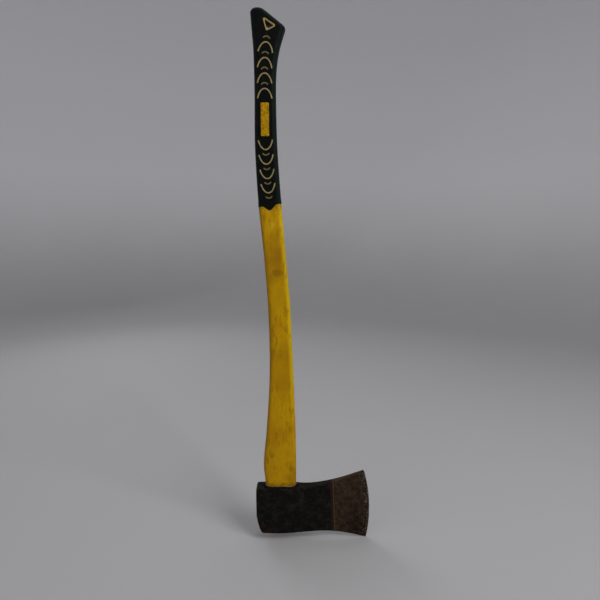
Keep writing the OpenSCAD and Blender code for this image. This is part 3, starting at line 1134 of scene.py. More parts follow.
    def ripple(self, offset: np.ndarray) -> np.ndarray:
        """Height of the grip's lower edge above its middle height, by distance from the centre line."""
        tongue = np.where(
            np.abs(offset) < self.dip_half_width,
            -self.dip * (1 + np.cos(math.pi * offset / self.dip_half_width)) / 2,
            0.0,
        )
        return tongue - math.tan(self.lean(self.edge) - self.lip_slant) * offset

    def columns(self, z: np.ndarray) -> np.ndarray:
        """Places across the handle from -1 to 1 for each height, closer together on the rounded edges."""
        width = self.width.at(z)[:, None]
        turn = np.linspace(0, math.pi / 2, 8)
        close = self.edge_round * (1 - np.cos(turn))[None] / width
        middle = np.linspace(0, 1, 22)[None, 1:-1]
        inner = close[:, -1:] + middle * (1 - 2 * close[:, -1:])
        return 2 * np.concatenate([close, inner, 1 - close[:, ::-1]], axis=1) - 1

    def rows(self, heights: np.ndarray, insets: np.ndarray) -> np.ndarray:
        """Grid rows across the handle, which follow the grip's edge near it.

        Args:
            heights: middle height of each row.
            insets: distance inside the outer shape of each row.

        Returns:
            The rows' points.
        """
        place = self.columns(heights)
        offset = place * self.width.at(heights)[:, None] / 2
        fade = np.clip(1 - np.abs(heights - self.edge) / self.lip_reach, 0, 1)[:, None]
        z = heights[:, None] + self.ripple(offset) * fade**2 * (3 - 2 * fade)
        return np.stack([self.centre.at(z) + place * (self.width.at(z) / 2 - insets[:, None]), z], axis=-1)

    def grid(self, low: float, inset: float, drop: float) -> np.ndarray:
        """The knob's grid, from a straight row to its end.

        Args:
            low: height of the straight row.
            inset: distance inside the outer shape.
            drop: distance below the crown.

        Returns:
            The grid's points, without the straight row itself.
        """
        end = self.end_path(inset, drop)
        foot = self.rows(np.array([low]), np.array([inset]))[0]
        reach = np.linspace(0, 1, int((self.crown - low) / self.knob_step)) ** 0.8
        turn = self.edge_round * np.cos(np.linspace(0, math.pi / 2, 8)) / (self.crown - low)
        share = np.concatenate([reach[reach < 1 - turn[0] * 1.02], 1 - turn * 0.98])
        share[-1] = 1.0
        share = np.maximum.accumulate(share)
        left = along(self.side(np.linspace(low, end[0, 1], 60), -1, inset), share)
        right = along(self.side(np.linspace(low, end[-1, 1], 60), 1, inset), share)
        left[-1], right[-1] = end[0], end[-1]
        high = along(end, (self.columns(np.array([self.crown - 12]))[0] + 1) / 2)
        return patch(foot, high, left, right)[1:]

    def half(
        self, grid: np.ndarray, inset: float | np.ndarray, outline: np.ndarray
    ) -> tuple[np.ndarray, np.ndarray]:
        """Half the thickness at each point of a grid.

        Args:
            grid: the points in the side view.
            inset: distance inside the outer shape.
            outline: the outline of the grid.

        Returns:
            Half the thickness, and the distance from the outline.
        """
        z = grid[..., 1]
        deep = distance_to(outline, grid)
        flat = self.thickness.at(z) / 2 - inset
        turn = np.minimum(self.rounding.at(z) - 0.7 * np.asarray(inset), flat - 0.5)
        d = np.clip(turn - deep, 0, turn)
        return flat - turn + np.sqrt(np.maximum(turn**2 - d**2, 0)), deep

    def face_y(self, x: np.ndarray, z: np.ndarray) -> np.ndarray:
        """Half the thickness at places in the side view."""
        low = float(np.min(z)) - 30
        points = np.stack([x, z], axis=-1)
        return self.half(points, 0.0, self.outline(low, 0.0, 0.0))[0]


def three_sided(radius: float, corner: float, steps: int = 8) -> np.ndarray:
    """A closed outline whose three rounded sides touch a circle.

    Args:
        radius: the circle's radius.
        corner: radius of the corners.
        steps: points in each corner.

    Returns:
        The outline round the origin.
    """
    found = []
    for k, side in enumerate(HOLE_SIDES):
        span = (HOLE_SIDES[(k + 1) % 3] - side) % 360
        reach = (radius - corner) / math.cos(math.radians(span / 2))
        middle = math.radians(side + span / 2)
        for turn in np.radians(np.linspace(side, side + span, steps + 1)):
            found.append((
                reach * math.cos(middle) + corner * math.cos(turn),
                reach * math.sin(middle) + corner * math.sin(turn),
            ))
    return np.array(found)


def prism(name: str, outline: np.ndarray, reach: float) -> bpy.types.Object:
    """A closed prism through the thickness.

    Args:
        name: the object's name.
        outline: its outline in the side view.
        reach: how far it reaches to each side.

    Returns:
        The prism.
    """
    return tube(name, [np.insert(outline, 1, y, axis=1) for y in (-reach, reach)], True)


class Side(Enum):
    """Which of the handle's two faces a detail is on."""

    FRONT = -1
    BACK = 1


@dataclass(frozen=True)
class Row:
    """Crescents along the centre line, in one direction."""

    start: float
    step: float
    count: int
    turn: float


@dataclass
class Handle:
    """The jacket with its raised pattern, and the rubber grip over it."""

    form: HandleForm
    rubber: float = 2.4
    end_rubber: float = 5.0
    lip: tuple[Point, ...] = (
        (0.0, 0.15), (0.25, -0.22), (0.7, -0.32), (1.4, -0.35), (2.6, -0.33), (4.5, -0.26),
        (7.5, -0.12), (10.5, 0.0),
    )
    grip_drop: float = 0.45
    proud: float = 0.32
    window_size: Point = (13.5, 52.0)
    window_corner: float = 1.2
    plate: tuple[Point, ...] = ((0.0, -2.6), (0.0, -0.3), (0.15, -0.05), (0.5, 0.08), (1.4, 0.12))
    window_drop: float = 169.5
    row_gap: float = 22.0
    pitch: float = 23.0
    per_row: int = 4
    large: tuple[float, float, float] = (12.0, 16.0, 1.9)
    small: tuple[float, float, float] = (5.5, 3.6, 1.3)
    small_step: float = 8.2
    arc_turn: float = math.radians(68.0)
    hole_radius: float = 4.0
    rim_width: float = 2.4
    disc_radius: float = 6.0
    disc_groove: float = 0.35
    disc_below_edge: float = 33.5
    shaft_wall: tuple[Point, ...] = (
        (-1.0, 0.0), (-0.7, 0.10), (-0.4, 0.16), (-0.12, 0.18), (-0.045, 0.34), (0.0, 0.42),
        (0.045, 0.34), (0.12, 0.18), (0.4, 0.16), (0.7, 0.10), (1.0, 0.0),
    )

    def __post_init__(self) -> None:
        """Works out the places of the pattern."""
        self.window_z = self.form.crown - self.window_drop
        self.hole_z = self.form.crown - self.form.tip_drop
        self.hole_x = float(self.form.centre.at(self.hole_z)) + 1
        disc_z = self.form.edge - self.disc_below_edge
        self.disc = (float(self.form.centre.at(disc_z)), disc_z)
        half = self.window_size[1] / 2
        self.rows = (
            Row(self.window_z + half + self.row_gap, self.pitch, self.per_row, 0.0),
            Row(self.window_z - half - self.row_gap, -self.pitch, self.per_row, math.pi),
        )

    def slab(self, low: float, rubber_covered: bool) -> Slab:
        """The handle's body above a height.

        Args:
            low: height of its foot.
            rubber_covered: whether it is the jacket, which steps in under the rubber.

        Returns:
            The slab.
        """
        form = self.form
        knob = form.crown - form.knob_start
        step = form.row_step
        if rubber_covered:
            below = np.linspace(low, form.edge, int((form.edge - low) / step) + 1)
            above = np.linspace(form.edge + 0.05, knob, int((knob - form.edge) / step) + 1)
            heights = np.concatenate([below, above])
            insets = np.concatenate([np.zeros(len(below)), np.full(len(above), self.rubber)])
            inset, drop = self.rubber, self.end_rubber
        else:
            lip, rise = np.array(self.lip).T
            above = np.linspace(form.edge + lip[-1] + step, knob, int((knob - form.edge) / step) + 1)
            heights = np.concatenate([form.edge + lip, above])
            insets = np.concatenate([rise, np.zeros(len(above))])
            inset, drop = 0.0, self.grip_drop
        body = form.rows(heights, insets)
        end = form.grid(knob, inset, drop)
        grid = np.concatenate([body, end])
        outer = form.outline(low - 20, 0.0, 0.0)
        inner = form.outline(low - 20, inset, drop)
        half_body, rim_body = form.half(body, insets[:, None], outer)
        if rubber_covered:
            under = insets > 0
            half_body[under], rim_body[under] = form.half(body[under], self.rubber, inner)
        half_end, rim_end = form.half(end, inset, inner)
        half = np.concatenate([half_body, half_end])
        rim = np.concatenate([rim_body, rim_end])
        return Slab(grid, half, self.shaft_wall, rim)

    def jacket(self) -> bpy.types.Object:
        """The moulded jacket, with a moulding disc on its front face and the hang hole through it."""
        body = self.slab(self.form.foot, True)
        points = body.points.copy()
        disc_x, disc_z = self.disc
        away = np.hypot(points[:, 0] - disc_x, points[:, 2] - disc_z)
        groove = self.disc_groove * np.exp(-(((away - self.disc_radius) / 0.9) ** 2))
        points[:, 1] += np.where(points[:, 1] < -5, groove, 0.0)
        wobble = grain_noise(points, 46, 3.0) * 0.22
        points[:, 1] += np.sign(points[:, 1]) * wobble * (np.abs(points[:, 1]) > 4)
        centre, width = self.form.centre.at(points[:, 2]), self.form.width.at(points[:, 2])
        marks = {"rim": body.point_rim, "across": (points[:, 0] - centre) / (width / 2)}
        piece = make_piece("jacket", points, body.faces, marks)
        hole = three_sided(self.hole_radius + 0.6 * self.rim_width, 1.8) + (self.hole_x, self.hole_z)
        cut(piece, prism("hole_cutter", hole, self.form.grip_thickness))
        return piece

    def grip(self) -> bpy.types.Object:
        """The rubber grip: a shell with a rounded lip, open where the jacket shows through."""
        form = self.form
        outer = self.slab(form.edge, False)
        inner = self._lining(outer)
        n = len(outer.points)
        ring_out, ring_in = outer.foot_ring(), inner.foot_ring()
        faces = outer.open_faces() + [tuple(n + i for i in face) for face in inner.open_faces()]
        size = len(ring_out)
        for k in range(size):
            m = (k + 1) % size
            faces.append((ring_out[k], ring_out[m], n + ring_in[m], n + ring_in[k]))
        points = np.concatenate([outer.points, inner.points])
        rim = np.concatenate([outer.point_rim, inner.point_rim])
        piece = make_piece("grip_rubber", points, faces, {"rim": rim})
        reach = form.grip_thickness
        hole = three_sided(self.hole_radius + self.rim_width - 0.25, 2.3) + (self.hole_x, self.hole_z)
        cut(piece, prism("hole_cutter", hole, reach))
        cut(piece, prism("window_cutter", self.window_outline(0.15), reach))
        return piece

    def _lining(self, outer: Slab) -> Slab:
        """The grip's inner surface, on the same rows and columns as the outer one."""
        form = self.form
        knob = form.crown - form.knob_start
        end_rows = form.grid(knob, self.rubber, self.end_rubber)
        count = outer.rows - len(end_rows)
        body_outer = outer.grid[:count]
        z = body_outer[..., 1]
        centre = form.centre.at(z)
        width = form.width.at(z) / 2
        share = np.clip((body_outer[..., 0] - centre) / width, -1, 1)
        body = np.stack([centre + share * (width - self.rubber), z], axis=-1)
        grid = np.concatenate([body, end_rows])
        outline = form.outline(form.edge - 40, self.rubber, self.end_rubber)
        half, rim = form.half(grid, self.rubber, outline)
        return Slab(grid, half, self.shaft_wall, rim)

    def window_outline(self, margin: float) -> np.ndarray:
        """The window's outline, leaning with the handle.

        Args:
            margin: how much larger than the window, to each side.

        Returns:
            The outline in the side view.
        """
        half_w, half_l = self.window_size[0] / 2 + margin, self.window_size[1] / 2 + margin
        corner = self.window_corner
        found = []
        for k, (sx, sz) in enumerate(((1, 1), (-1, 1), (-1, -1), (1, -1))):
            for turn in np.radians(np.linspace(90 * k, 90 * k + 90, 6)):
                found.append((sx * (half_w - corner) + corner * math.cos(turn),
                              sz * (half_l - corner) + corner * math.sin(turn)))
        lean = self.form.lean(self.window_z)
        turn = np.array([[math.cos(lean), -math.sin(lean)], [math.sin(lean), math.cos(lean)]])
        return np.array(found) @ turn + (float(self.form.centre.at(self.window_z)), self.window_z)

    def windows(self) -> bpy.types.Object:
        """The plain plates of the jacket that show through the rubber, one on each face."""
        outline = self.window_outline(-0.1)
        middle = outline.mean(axis=0)
        points, faces = [], []
        for side in Side:
            base = len(points)
            for shrink, height in self.plate:
                way = middle - outline
                way /= np.linalg.norm(way, axis=1)[:, None]
                ring = outline + way * shrink
                y = self.form.face_y(ring[:, 0], ring[:, 1]) + height
                points += [(x, side.value * h, z) for (x, z), h in zip(ring, y)]
            sides = tube_faces(len(outline), len(self.plate), True)
            faces += [tuple(base + i for i in face) for face in sides]
        return make_piece("jacket_windows", np.array(points), faces)

    def hole_rim(self) -> bpy.types.Object:
        """The three-sided rim that lines the hang hole from face to face."""
        middle = self.hole_radius + self.rim_width / 2
        half_w = self.rim_width / 2
        rings = []
        steps = np.linspace(0, math.pi, 7)
        centre = (self.hole_x, self.hole_z)
        y_face = float(self.form.face_y(np.array([self.hole_x]), np.array([self.hole_z]))[0])
        section = [(half_w * math.cos(t), y_face - 0.5 + (0.5 + self.proud) * math.sin(t)) for t in steps]
        section += [(-r, -y) for r, y in section]
        for r, y in section:
            ring = three_sided(middle + r, 1.75 + 0.75 * r / half_w) + centre
            rings.append(np.insert(ring, 1, y, axis=1))
        return tube("jacket_hole_rim", rings, False)

    def crescents(self, finish: Finish) -> bpy.types.Object:
        """The crescents on both faces, raised through the rubber.

        Args:
            finish: what they are made of.

        Returns:
            One mesh with all of them.
        """
        tree = crescent_tree()
        form = bmesh.new()
        for (half_width, depth, line), beyond in ((self.large, 0.0), (self.small, self.small_step)):
            places, turns = [], []
            for row in self.rows:
                for k in range(row.count):
                    z = row.start + k * row.step
                    lean = self.form.lean(z)
                    way = 1 if row.step > 0 else -1
                    x = float(self.form.centre.at(z)) + way * beyond * math.sin(lean)
                    places.append((x, 0.0, z + way * beyond * math.cos(lean)))
                    turns.append(row.turn + lean)
            sizes = {"Half Width": (half_width - line / 4) * MM, "Depth": depth * MM, "Line": line * MM,
                     "Height": 2.2 * MM, "Turn": self.arc_turn, "Material": finish.material()}
            mesh = grow("crescent_points", places, {"turn": turns}, tree, sizes)
            faint = mesh.attributes.new("faint", "FLOAT", "POINT")
            faint.data.foreach_set("value", [float(beyond > 0)] * len(mesh.vertices))
            self._press(mesh)
            form.from_mesh(mesh)
            bpy.data.meshes.remove(mesh)
        mesh = bpy.data.meshes.new("jacket_crescents")
        form.to_mesh(mesh)
        form.free()
        mesh.materials.append(finish.material())
        tidy_mesh(mesh)
        piece = linked("jacket_crescents", mesh)
        mirror_through(piece)
        return piece

    def _press(self, mesh: bpy.types.Mesh) -> None:
        """Lays flat crescents on the grip's front face."""
        co = np.zeros(len(mesh.vertices) * 3)
        mesh.vertices.foreach_get("co", co)
        co = co.reshape(-1, 3) / MM
        top = co[:, 1].min()
        co[:, 1] += -self.form.face_y(co[:, 0], co[:, 2]) - self.proud - top
        mesh.vertices.foreach_set("co", (co * MM).ravel())

    def build(self) -> list[bpy.types.Object]:
        """Builds and dresses every piece of the handle.

        Returns:
            The pieces.
        """
        plastic = GrimyPlastic("moulded_plastic", disc=self.disc, disc_radius=self.disc_radius)
        dusty, rubber = DustyPlastic("dusty_plastic"), GripRubber("rubber")
        jacket = dress(self.jacket(), plastic, "handle_jacket")
        crescents = dress(self.crescents(dusty), dusty, "handle_jacket")
        windows = dress(self.windows(), plastic, "handle_jacket")
        rim = dress(self.hole_rim(), dusty, "handle_jacket")
        grip = dress(self.grip(), rubber, "grip")
        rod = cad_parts["core_rod"]
        rod.data.materials.clear()
        rod.data.materials.append(PulledGlass("pulled_glass").material())
        return [jacket, crescents, windows, rim, grip, rod]


def mirror_through(piece: bpy.types.Object) -> None:
    """Adds a piece's mirror image on the other face of the handle."""
    form = bmesh.new()
    form.from_mesh(piece.data)
    copy = bmesh.ops.duplicate(form, geom=form.verts[:] + form.edges[:] + form.faces[:])
    for item in copy["geom"]:
        if isinstance(item, bmesh.types.BMVert):
            item.co.y = -item.co.y
    form.to_mesh(piece.data)
    form.free()
    tidy_mesh(piece.data)


def grow(
    name: str,
    places: Sequence[Sequence[float]],
    values: dict[str, Sequence[float]],
    tree: bpy.types.NodeTree,
    sizes: dict[str, object],
) -> bpy.types.Mesh:
    """Runs a Geometry Nodes tree on points and returns its plain mesh.

    Args:
        name: name of the mesh.
        places: the points in millimetres.
        values: floats that the points carry, by name.
        tree: the node tree.
        sizes: the tree's inputs by their names.

    Returns:
        The realized mesh.
    """
    mesh = bpy.data.meshes.new(name)
    mesh.from_pydata([tuple(c * MM for c in p) for p in places], [], [])
    for key, floats in values.items():
        mesh.attributes.new(key, "FLOAT", "POINT").data.foreach_set("value", list(floats))
    host = linked(name, mesh)
    modifier = host.modifiers.new(name, "NODES")
    modifier.node_group = tree
    sockets = {i.name: i.identifier for i in tree.interface.items_tree if i.in_out == "INPUT"}
    for key, value in sizes.items():
        modifier[sockets[key]] = value
    graph = bpy.context.evaluated_depsgraph_get()
    graph.update()
    grown = bpy.data.meshes.new_from_object(host.evaluated_get(graph))
    bpy.data.objects.remove(host)
    return grown


class Growth(Nodes):
    """A Geometry Nodes tree under construction."""

    def __init__(self, name: str, sizes: dict[str, str]) -> None:
        """Starts a tree.

        Args:
            name: the tree's name.
            sizes: socket types of its inputs, by name.
        """
        super().__init__(bpy.data.node_groups.new(name, "GeometryNodeTree"))
        self.tree.interface.new_socket("Geometry", in_out="INPUT", socket_type="NodeSocketGeometry")
        self.tree.interface.new_socket("Geometry", in_out="OUTPUT", socket_type="NodeSocketGeometry")
        for key, kind in sizes.items():
            self.tree.interface.new_socket(key, in_out="INPUT", socket_type=kind)
        self.given = self.tree.nodes.new("NodeGroupInput").outputs
        self.result = self.tree.nodes.new("NodeGroupOutput").inputs[0]

    def math(self, operation: str, first: object, second: object = 0.0) -> bpy.types.NodeSocket:
        """A Math node on two values or sockets."""
        return self.node("ShaderNodeMath", {"operation": operation}, {0: first, 1: second}).outputs[0]

    def finish(self, instances: bpy.types.NodeSocket) -> bpy.types.NodeTree:
        """Realizes, smooths and dresses the instances, and ends the tree."""
        real = self.node("GeometryNodeRealizeInstances", inputs={0: instances}).outputs[0]
        smooth = self.node("GeometryNodeSetShadeSmooth", inputs={"Geometry": real}).outputs[0]
        inputs = {"Geometry": smooth, "Material": self.given["Material"]}
        dressed = self.node("GeometryNodeSetMaterial", inputs=inputs).outputs[0]
        self.tree.links.new(dressed, self.result)
        return self.tree


def crescent_tree() -> bpy.types.NodeTree:
    """A tree that puts a tapered, round-topped crescent on each point, crown at the point."""
    tree = Growth("crescents", {
        "Half Width": "NodeSocketFloat", "Depth": "NodeSocketFloat", "Line": "NodeSocketFloat",
        "Height": "NodeSocketFloat", "Turn": "NodeSocketFloat", "Material": "NodeSocketMaterial",
    })
    given = tree.given
    half_line = tree.math("MULTIPLY", given["Line"], 0.5)
    fall = tree.math("SUBTRACT", 1.0, tree.math("COSINE", given["Turn"]))
    high = tree.math("DIVIDE", tree.math("SUBTRACT", given["Depth"], half_line), fall)
    wide = tree.math("DIVIDE", given["Half Width"], tree.math("SINE", given["Turn"]))
    arc = tree.node("GeometryNodeCurveArc", {"mode": "RADIUS"}, {
        "Resolution": 48, "Radius": 1.0, "Sweep Angle": tree.math("MULTIPLY", given["Turn"], 2.0),
        "Start Angle": tree.math("SUBTRACT", math.pi / 2, given["Turn"]),
    })
    size = tree.node("ShaderNodeCombineXYZ", inputs={0: wide, 1: high, 2: 1.0})
    shift = tree.node("ShaderNodeCombineXYZ", inputs={
        2: tree.math("MULTIPLY", tree.math("ADD", high, half_line), -1.0),
    })
    arch = tree.node("GeometryNodeTransform", inputs={
        "Geometry": arc.outputs[0], "Translation": shift.outputs[0],
        "Rotation": (math.pi / 2, 0.0, 0.0), "Scale": size.outputs[0],
    })
    factor = tree.node("GeometryNodeSplineParameter").outputs["Factor"]
    off = tree.math("ABSOLUTE", tree.math("SUBTRACT", tree.math("MULTIPLY", factor, 2.0), 1.0))
    taper = tree.math("SUBTRACT", 1.0, tree.math("MULTIPLY", tree.math("POWER", off, 2.0), 0.6))
    sized = tree.node("GeometryNodeSetCurveRadius", inputs={"Curve": arch.outputs[0], "Radius": taper})
    section = tree.node("GeometryNodeCurvePrimitiveQuadrilateral", {"mode": "RECTANGLE"},
                        {"Width": given["Line"], "Height": given["Height"]})
    round_off = tree.math("MULTIPLY", given["Line"], 0.3)
    soft = tree.node("GeometryNodeFilletCurve", {"mode": "POLY"},
                     {"Curve": section.outputs[0], "Count": 3, "Radius": round_off, "Limit Radius": True})
    swept = tree.node("GeometryNodeCurveToMesh", inputs={
        "Curve": sized.outputs[0], "Profile Curve": soft.outputs[0], "Fill Caps": True,
    })
    turn = tree.node("GeometryNodeInputNamedAttribute", {"data_type": "FLOAT"}, {"Name": "turn"})
    angles = tree.node("ShaderNodeCombineXYZ", inputs={1: turn.outputs["Attribute"]})
    rotation = tree.node("FunctionNodeEulerToRotation", inputs={0: angles.outputs[0]})
    placed = tree.node("GeometryNodeInstanceOnPoints", inputs={
        "Points": given["Geometry"], "Instance": swept.outputs[0], "Rotation": rotation.outputs[0],
    })
    return tree.finish(placed.outputs[0])


def bead_tree() -> bpy.types.NodeTree:
    """A tree that puts a flattened bead of random size near each point."""
    tree = Growth("beads", {
        "Size": "NodeSocketFloat", "Spread": "NodeSocketFloat", "Seed": "NodeSocketInt",
        "Material": "NodeSocketMaterial",
    })
    given = tree.given
    spread = tree.node("ShaderNodeCombineXYZ", inputs={0: given["Spread"], 1: given["Spread"], 2: 0.0})
    back = tree.node("ShaderNodeVectorMath", {"operation": "SCALE"}, {0: spread.outputs[0], "Scale": -1.0})
    shift = tree.node("FunctionNodeRandomValue", {"data_type": "FLOAT_VECTOR"}, {
        0: back.outputs[0], 1: spread.outputs[0], "Seed": given["Seed"],
    })
    moved = tree.node("GeometryNodeSetPosition", inputs={
        "Geometry": given["Geometry"], "Offset": shift.outputs[0],
    })
    bead = tree.node("GeometryNodeMeshIcoSphere", inputs={"Radius": given["Size"], "Subdivisions": 3})
    flat = tree.node("GeometryNodeTransform", inputs={
        "Geometry": bead.outputs[0], "Scale": BEAD_SHAPE,
    })
    low = tree.node("ShaderNodeCombineXYZ", inputs=dict(enumerate(BEAD_LEAST)))
    high = tree.node("ShaderNodeCombineXYZ", inputs=dict(enumerate(BEAD_MOST)))
    scale = tree.node("FunctionNodeRandomValue", {"data_type": "FLOAT_VECTOR"}, {
        0: low.outputs[0], 1: high.outputs[0], "Seed": given["Seed"],
    })
    placed = tree.node("GeometryNodeInstanceOnPoints", inputs={
        "Points": moved.outputs[0], "Instance": flat.outputs[0], "Scale": scale.outputs[0],
    })
    return tree.finish(placed.outputs[0])


def dress(piece: bpy.types.Object, finish: Finish, node: str | None = None) -> bpy.types.Object:
    """Gives a piece its finish and ties it to the frame.

    Args:
        piece: the piece.
        finish: its finish.
        node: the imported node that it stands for, if any.

    Returns:
        The piece.
    """
    piece.data.materials.clear()
    piece.data.materials.append(finish.material())
    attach(piece, BODY)
    if node is not None:
        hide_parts(node)
    return piece


# ---- The head ----


@dataclass
class Head:
    """The forged head with its eye, cheeks and ground bevel.

    Args:
        poll_x: where the poll's face is.
        height: height of the head's upper face.
        reach: where the cutting edge is farthest out.
        lowest: height of the toe.
        highest: height of the heel.
        thickness: thickness through the eye.
    """

    poll_x: float
    height: float
    reach: float
    lowest: float
    highest: float
    thickness: float
    poll_thickness: float = 27.0
    poll_round: float = 5.0
    poll_fall: Point = (12.0, 34.0)
    heel_rise: float = 33.0
    toe_drop: float = 17.0
    edge_radius: float = 300.0
    edge_drop: float = 7.0
    bevel: float = 14.0
    bevel_share: float = 0.09
    cheek_slope: float = 0.275
    edge_half: float = 0.4
    fillet: float = 2.6
    heel_power: float = 1.5
    toe_power: float = 2.0
    heel_start: float = 0.25
    toe_start: float = 0.36
    heel_back: float = 16.0
    toe_back: float = 8.0
    sweep_share: float = 0.92
    columns: int = 118
    rows: int = 62
    line_x: float = 99.8
    line_lean: float = 0.041
    line_step: float = 0.16
    core: tuple[float, float, float] = (20.0, 0.0, 44.0)
    blunt_to: float = 120.0
    eye_flare: tuple[Point, ...] = ((-3.0, 2.6), (-0.1, 1.3), (0.9, 0.45), (2.2, 0.0))
    wall: tuple[Point, ...] = (
        (-1.0, 0.0), (-0.6, -0.06), (-0.2, 0.0), (0.2, 0.0), (0.6, -0.06), (1.0, 0.0),
    )

    def __post_init__(self) -> None:
        """Sets up the cheek's profile and the cutting edge."""
        t, reach = self.thickness, self.reach
        self.cheek = Profile((
            (self.poll_x, self.poll_thickness / 2), (-22, t * 0.48), (-4, t / 2), (14, t * 0.48),
            (reach * 0.24, t * 0.365), (reach * 0.46, t * 0.225), (reach * 0.6, t * 0.165), (reach + 2, 2),
        ))
        self.edge_centre = np.array([reach - self.edge_radius, self.height / 2 - self.edge_drop])

    def sweep(self, start: float, end: float, base: float, rise: float, power: float) -> np.ndarray:
        """The upper or lower edge of the bit, swept away from the body.

        Args:
            start: where along the head it starts.
            end: where it ends.
            base: height of the body's edge.
            rise: how far it sweeps away.
            power: how late it turns away.

        Returns:
            The edge's points.
        """
        t = np.linspace(0, 1, 30)
        return np.stack([start + t * (end - start), base + rise * t**power], axis=-1)

    def edges(self) -> tuple[np.ndarray, np.ndarray, np.ndarray, np.ndarray]:
        """The outline's low, high, left and right edges, each from low or left to high or right."""
        left_x = self.poll_x
        (fall_w, fall_h), high_r, top = self.poll_fall, self.poll_round, self.height
        low_corner = rounded((fall_w + left_x, 0), (fall_w / 2 + left_x, 0), (left_x, fall_h), 24)
        high_corner = rounded((left_x, top - high_r), (left_x, top), (high_r + left_x, top))
        heel = self.sweep(
            self.reach * self.heel_start, self.reach - self.heel_back, top,
            self.heel_rise * self.sweep_share, self.heel_power,
        )
        toe = self.sweep(
            self.reach * self.toe_start, self.reach - self.toe_back, 0,
            -self.toe_drop * self.sweep_share, self.toe_power,
        )
        heel_end, toe_end = heel[-1], toe[-1]
        heel_corner = rounded(heel_end + (1, 0.5), heel_end + (5, 2.5), heel_end + (9, -14), 16)
        toe_corner = rounded(toe_end + (1, -0.3), toe_end + (5, -1.5), toe_end + (6, 9), 16)
        heel_corner = self._inside_edge(heel_corner)
        toe_corner = self._inside_edge(toe_corner)
        spread = np.linspace(self._angle(toe_corner[-1]), self._angle(heel_corner[-1]), 80)
        arc = self.edge_centre + self.edge_radius * np.stack([np.cos(spread), np.sin(spread)], axis=-1)
        cut_low, cut_high = len(low_corner) // 4, len(high_corner) // 2
        low = np.concatenate([low_corner[: cut_low + 1][::-1], toe, toe_corner[:4]])
        high = np.concatenate([high_corner[cut_high:], heel, heel_corner[:4]])
        left = np.concatenate([low_corner[cut_low:], high_corner[: cut_high + 1]])
        right = np.concatenate([toe_corner[3:], arc[1:-1], heel_corner[3:][::-1]])
        return low, high, left, right

    def _angle(self, point: np.ndarray) -> float:
        """Angle of a point round the cutting edge's centre."""
        way = point - self.edge_centre
        return math.atan2(way[1], way[0])

    def _inside_edge(self, path: np.ndarray) -> np.ndarray:
        """The part of a path inside the cutting edge's circle, ending on the circle."""
        way = path - self.edge_centre
        size = np.linalg.norm(way, axis=1)
        keep = int(np.argmax(size > self.edge_radius)) if (size > self.edge_radius).any() else len(path)
        inside = path[:keep]
        last = inside[-1] - self.edge_centre
        on_edge = self.edge_centre + last * self.edge_radius / np.linalg.norm(last)
        return np.concatenate([inside, on_edge[None]])

    def from_edge(self, places: np.ndarray) -> np.ndarray:
        """Distance inward from the cutting edge at places in the side view."""
        return self.edge_radius - np.linalg.norm(places - self.edge_centre, axis=-1)

    def half(self, grid: np.ndarray, blunt: np.ndarray) -> tuple[np.ndarray, np.ndarray]:
        """Half the head's thickness.

        Args:
            grid: points in the side view.
            blunt: the outline apart from the cutting edge.

        Returns:
            Half the thickness, and the distance from the outline.
        """
        from_edge = np.maximum(self.from_edge(grid), 0)
        start = self.thickness * self.bevel_share
        ground = self.edge_half + (start - self.edge_half) * from_edge / self.bevel
        behind = start + (from_edge - self.bevel) * self.cheek_slope
        lens = np.where(from_edge < self.bevel, ground, behind)
        full = np.minimum(self.cheek.at(grid[..., 0]), lens)
        deep = distance_to(blunt, grid)
        turn = np.minimum(self.fillet, full * 0.62)
        d = np.clip(turn - deep, 0, turn)
        half = full - turn + np.sqrt(np.maximum(turn**2 - d**2, 0))
        return half, np.minimum(deep, from_edge)

    def clustered(self, path: np.ndarray, count: int, fine: float) -> np.ndarray:
        """A path's points, closer together toward both ends.

        Args:
            path: the path.
            count: number of points.
            fine: share of even spacing that is given up for the ends.

        Returns:
            The points.
        """
        t = np.linspace(0, 1, count)
        t = t - fine * np.sin(2 * math.pi * t) / (2 * math.pi)
        return along(path, t)

    def build(self) -> bpy.types.Object:
        """Builds the head and dresses it."""
        low, high, left, right = self.edges()
        blunt = np.concatenate([right[:3][::-1], low[::-1], left, high, right[-3:][::-1]])
        grid = patch(
            self.clustered(low, self.columns, 0.75), self.clustered(high, self.columns, 0.75),
            self.clustered(left, self.rows, 0.86), self.clustered(right, self.rows, 0.7),
        )
        half, rim = self.half(grid, blunt)
        body = Slab(grid, half, self.wall, rim)
        points = self._forge(body.points, body.point_rim)
        piece = make_piece("forged_head", points, body.faces, {"rim": body.point_rim})
        cut(piece, self._eye_cutter())
        finish = WornPaint(
            "worn_paint", line_x=self.line_x, line_lean=self.line_lean, middle=self.height / 2,
            edge_centre=tuple(self.edge_centre.tolist()), edge_radius=self.edge_radius,
        )
        return dress(piece, finish, "axe_head")

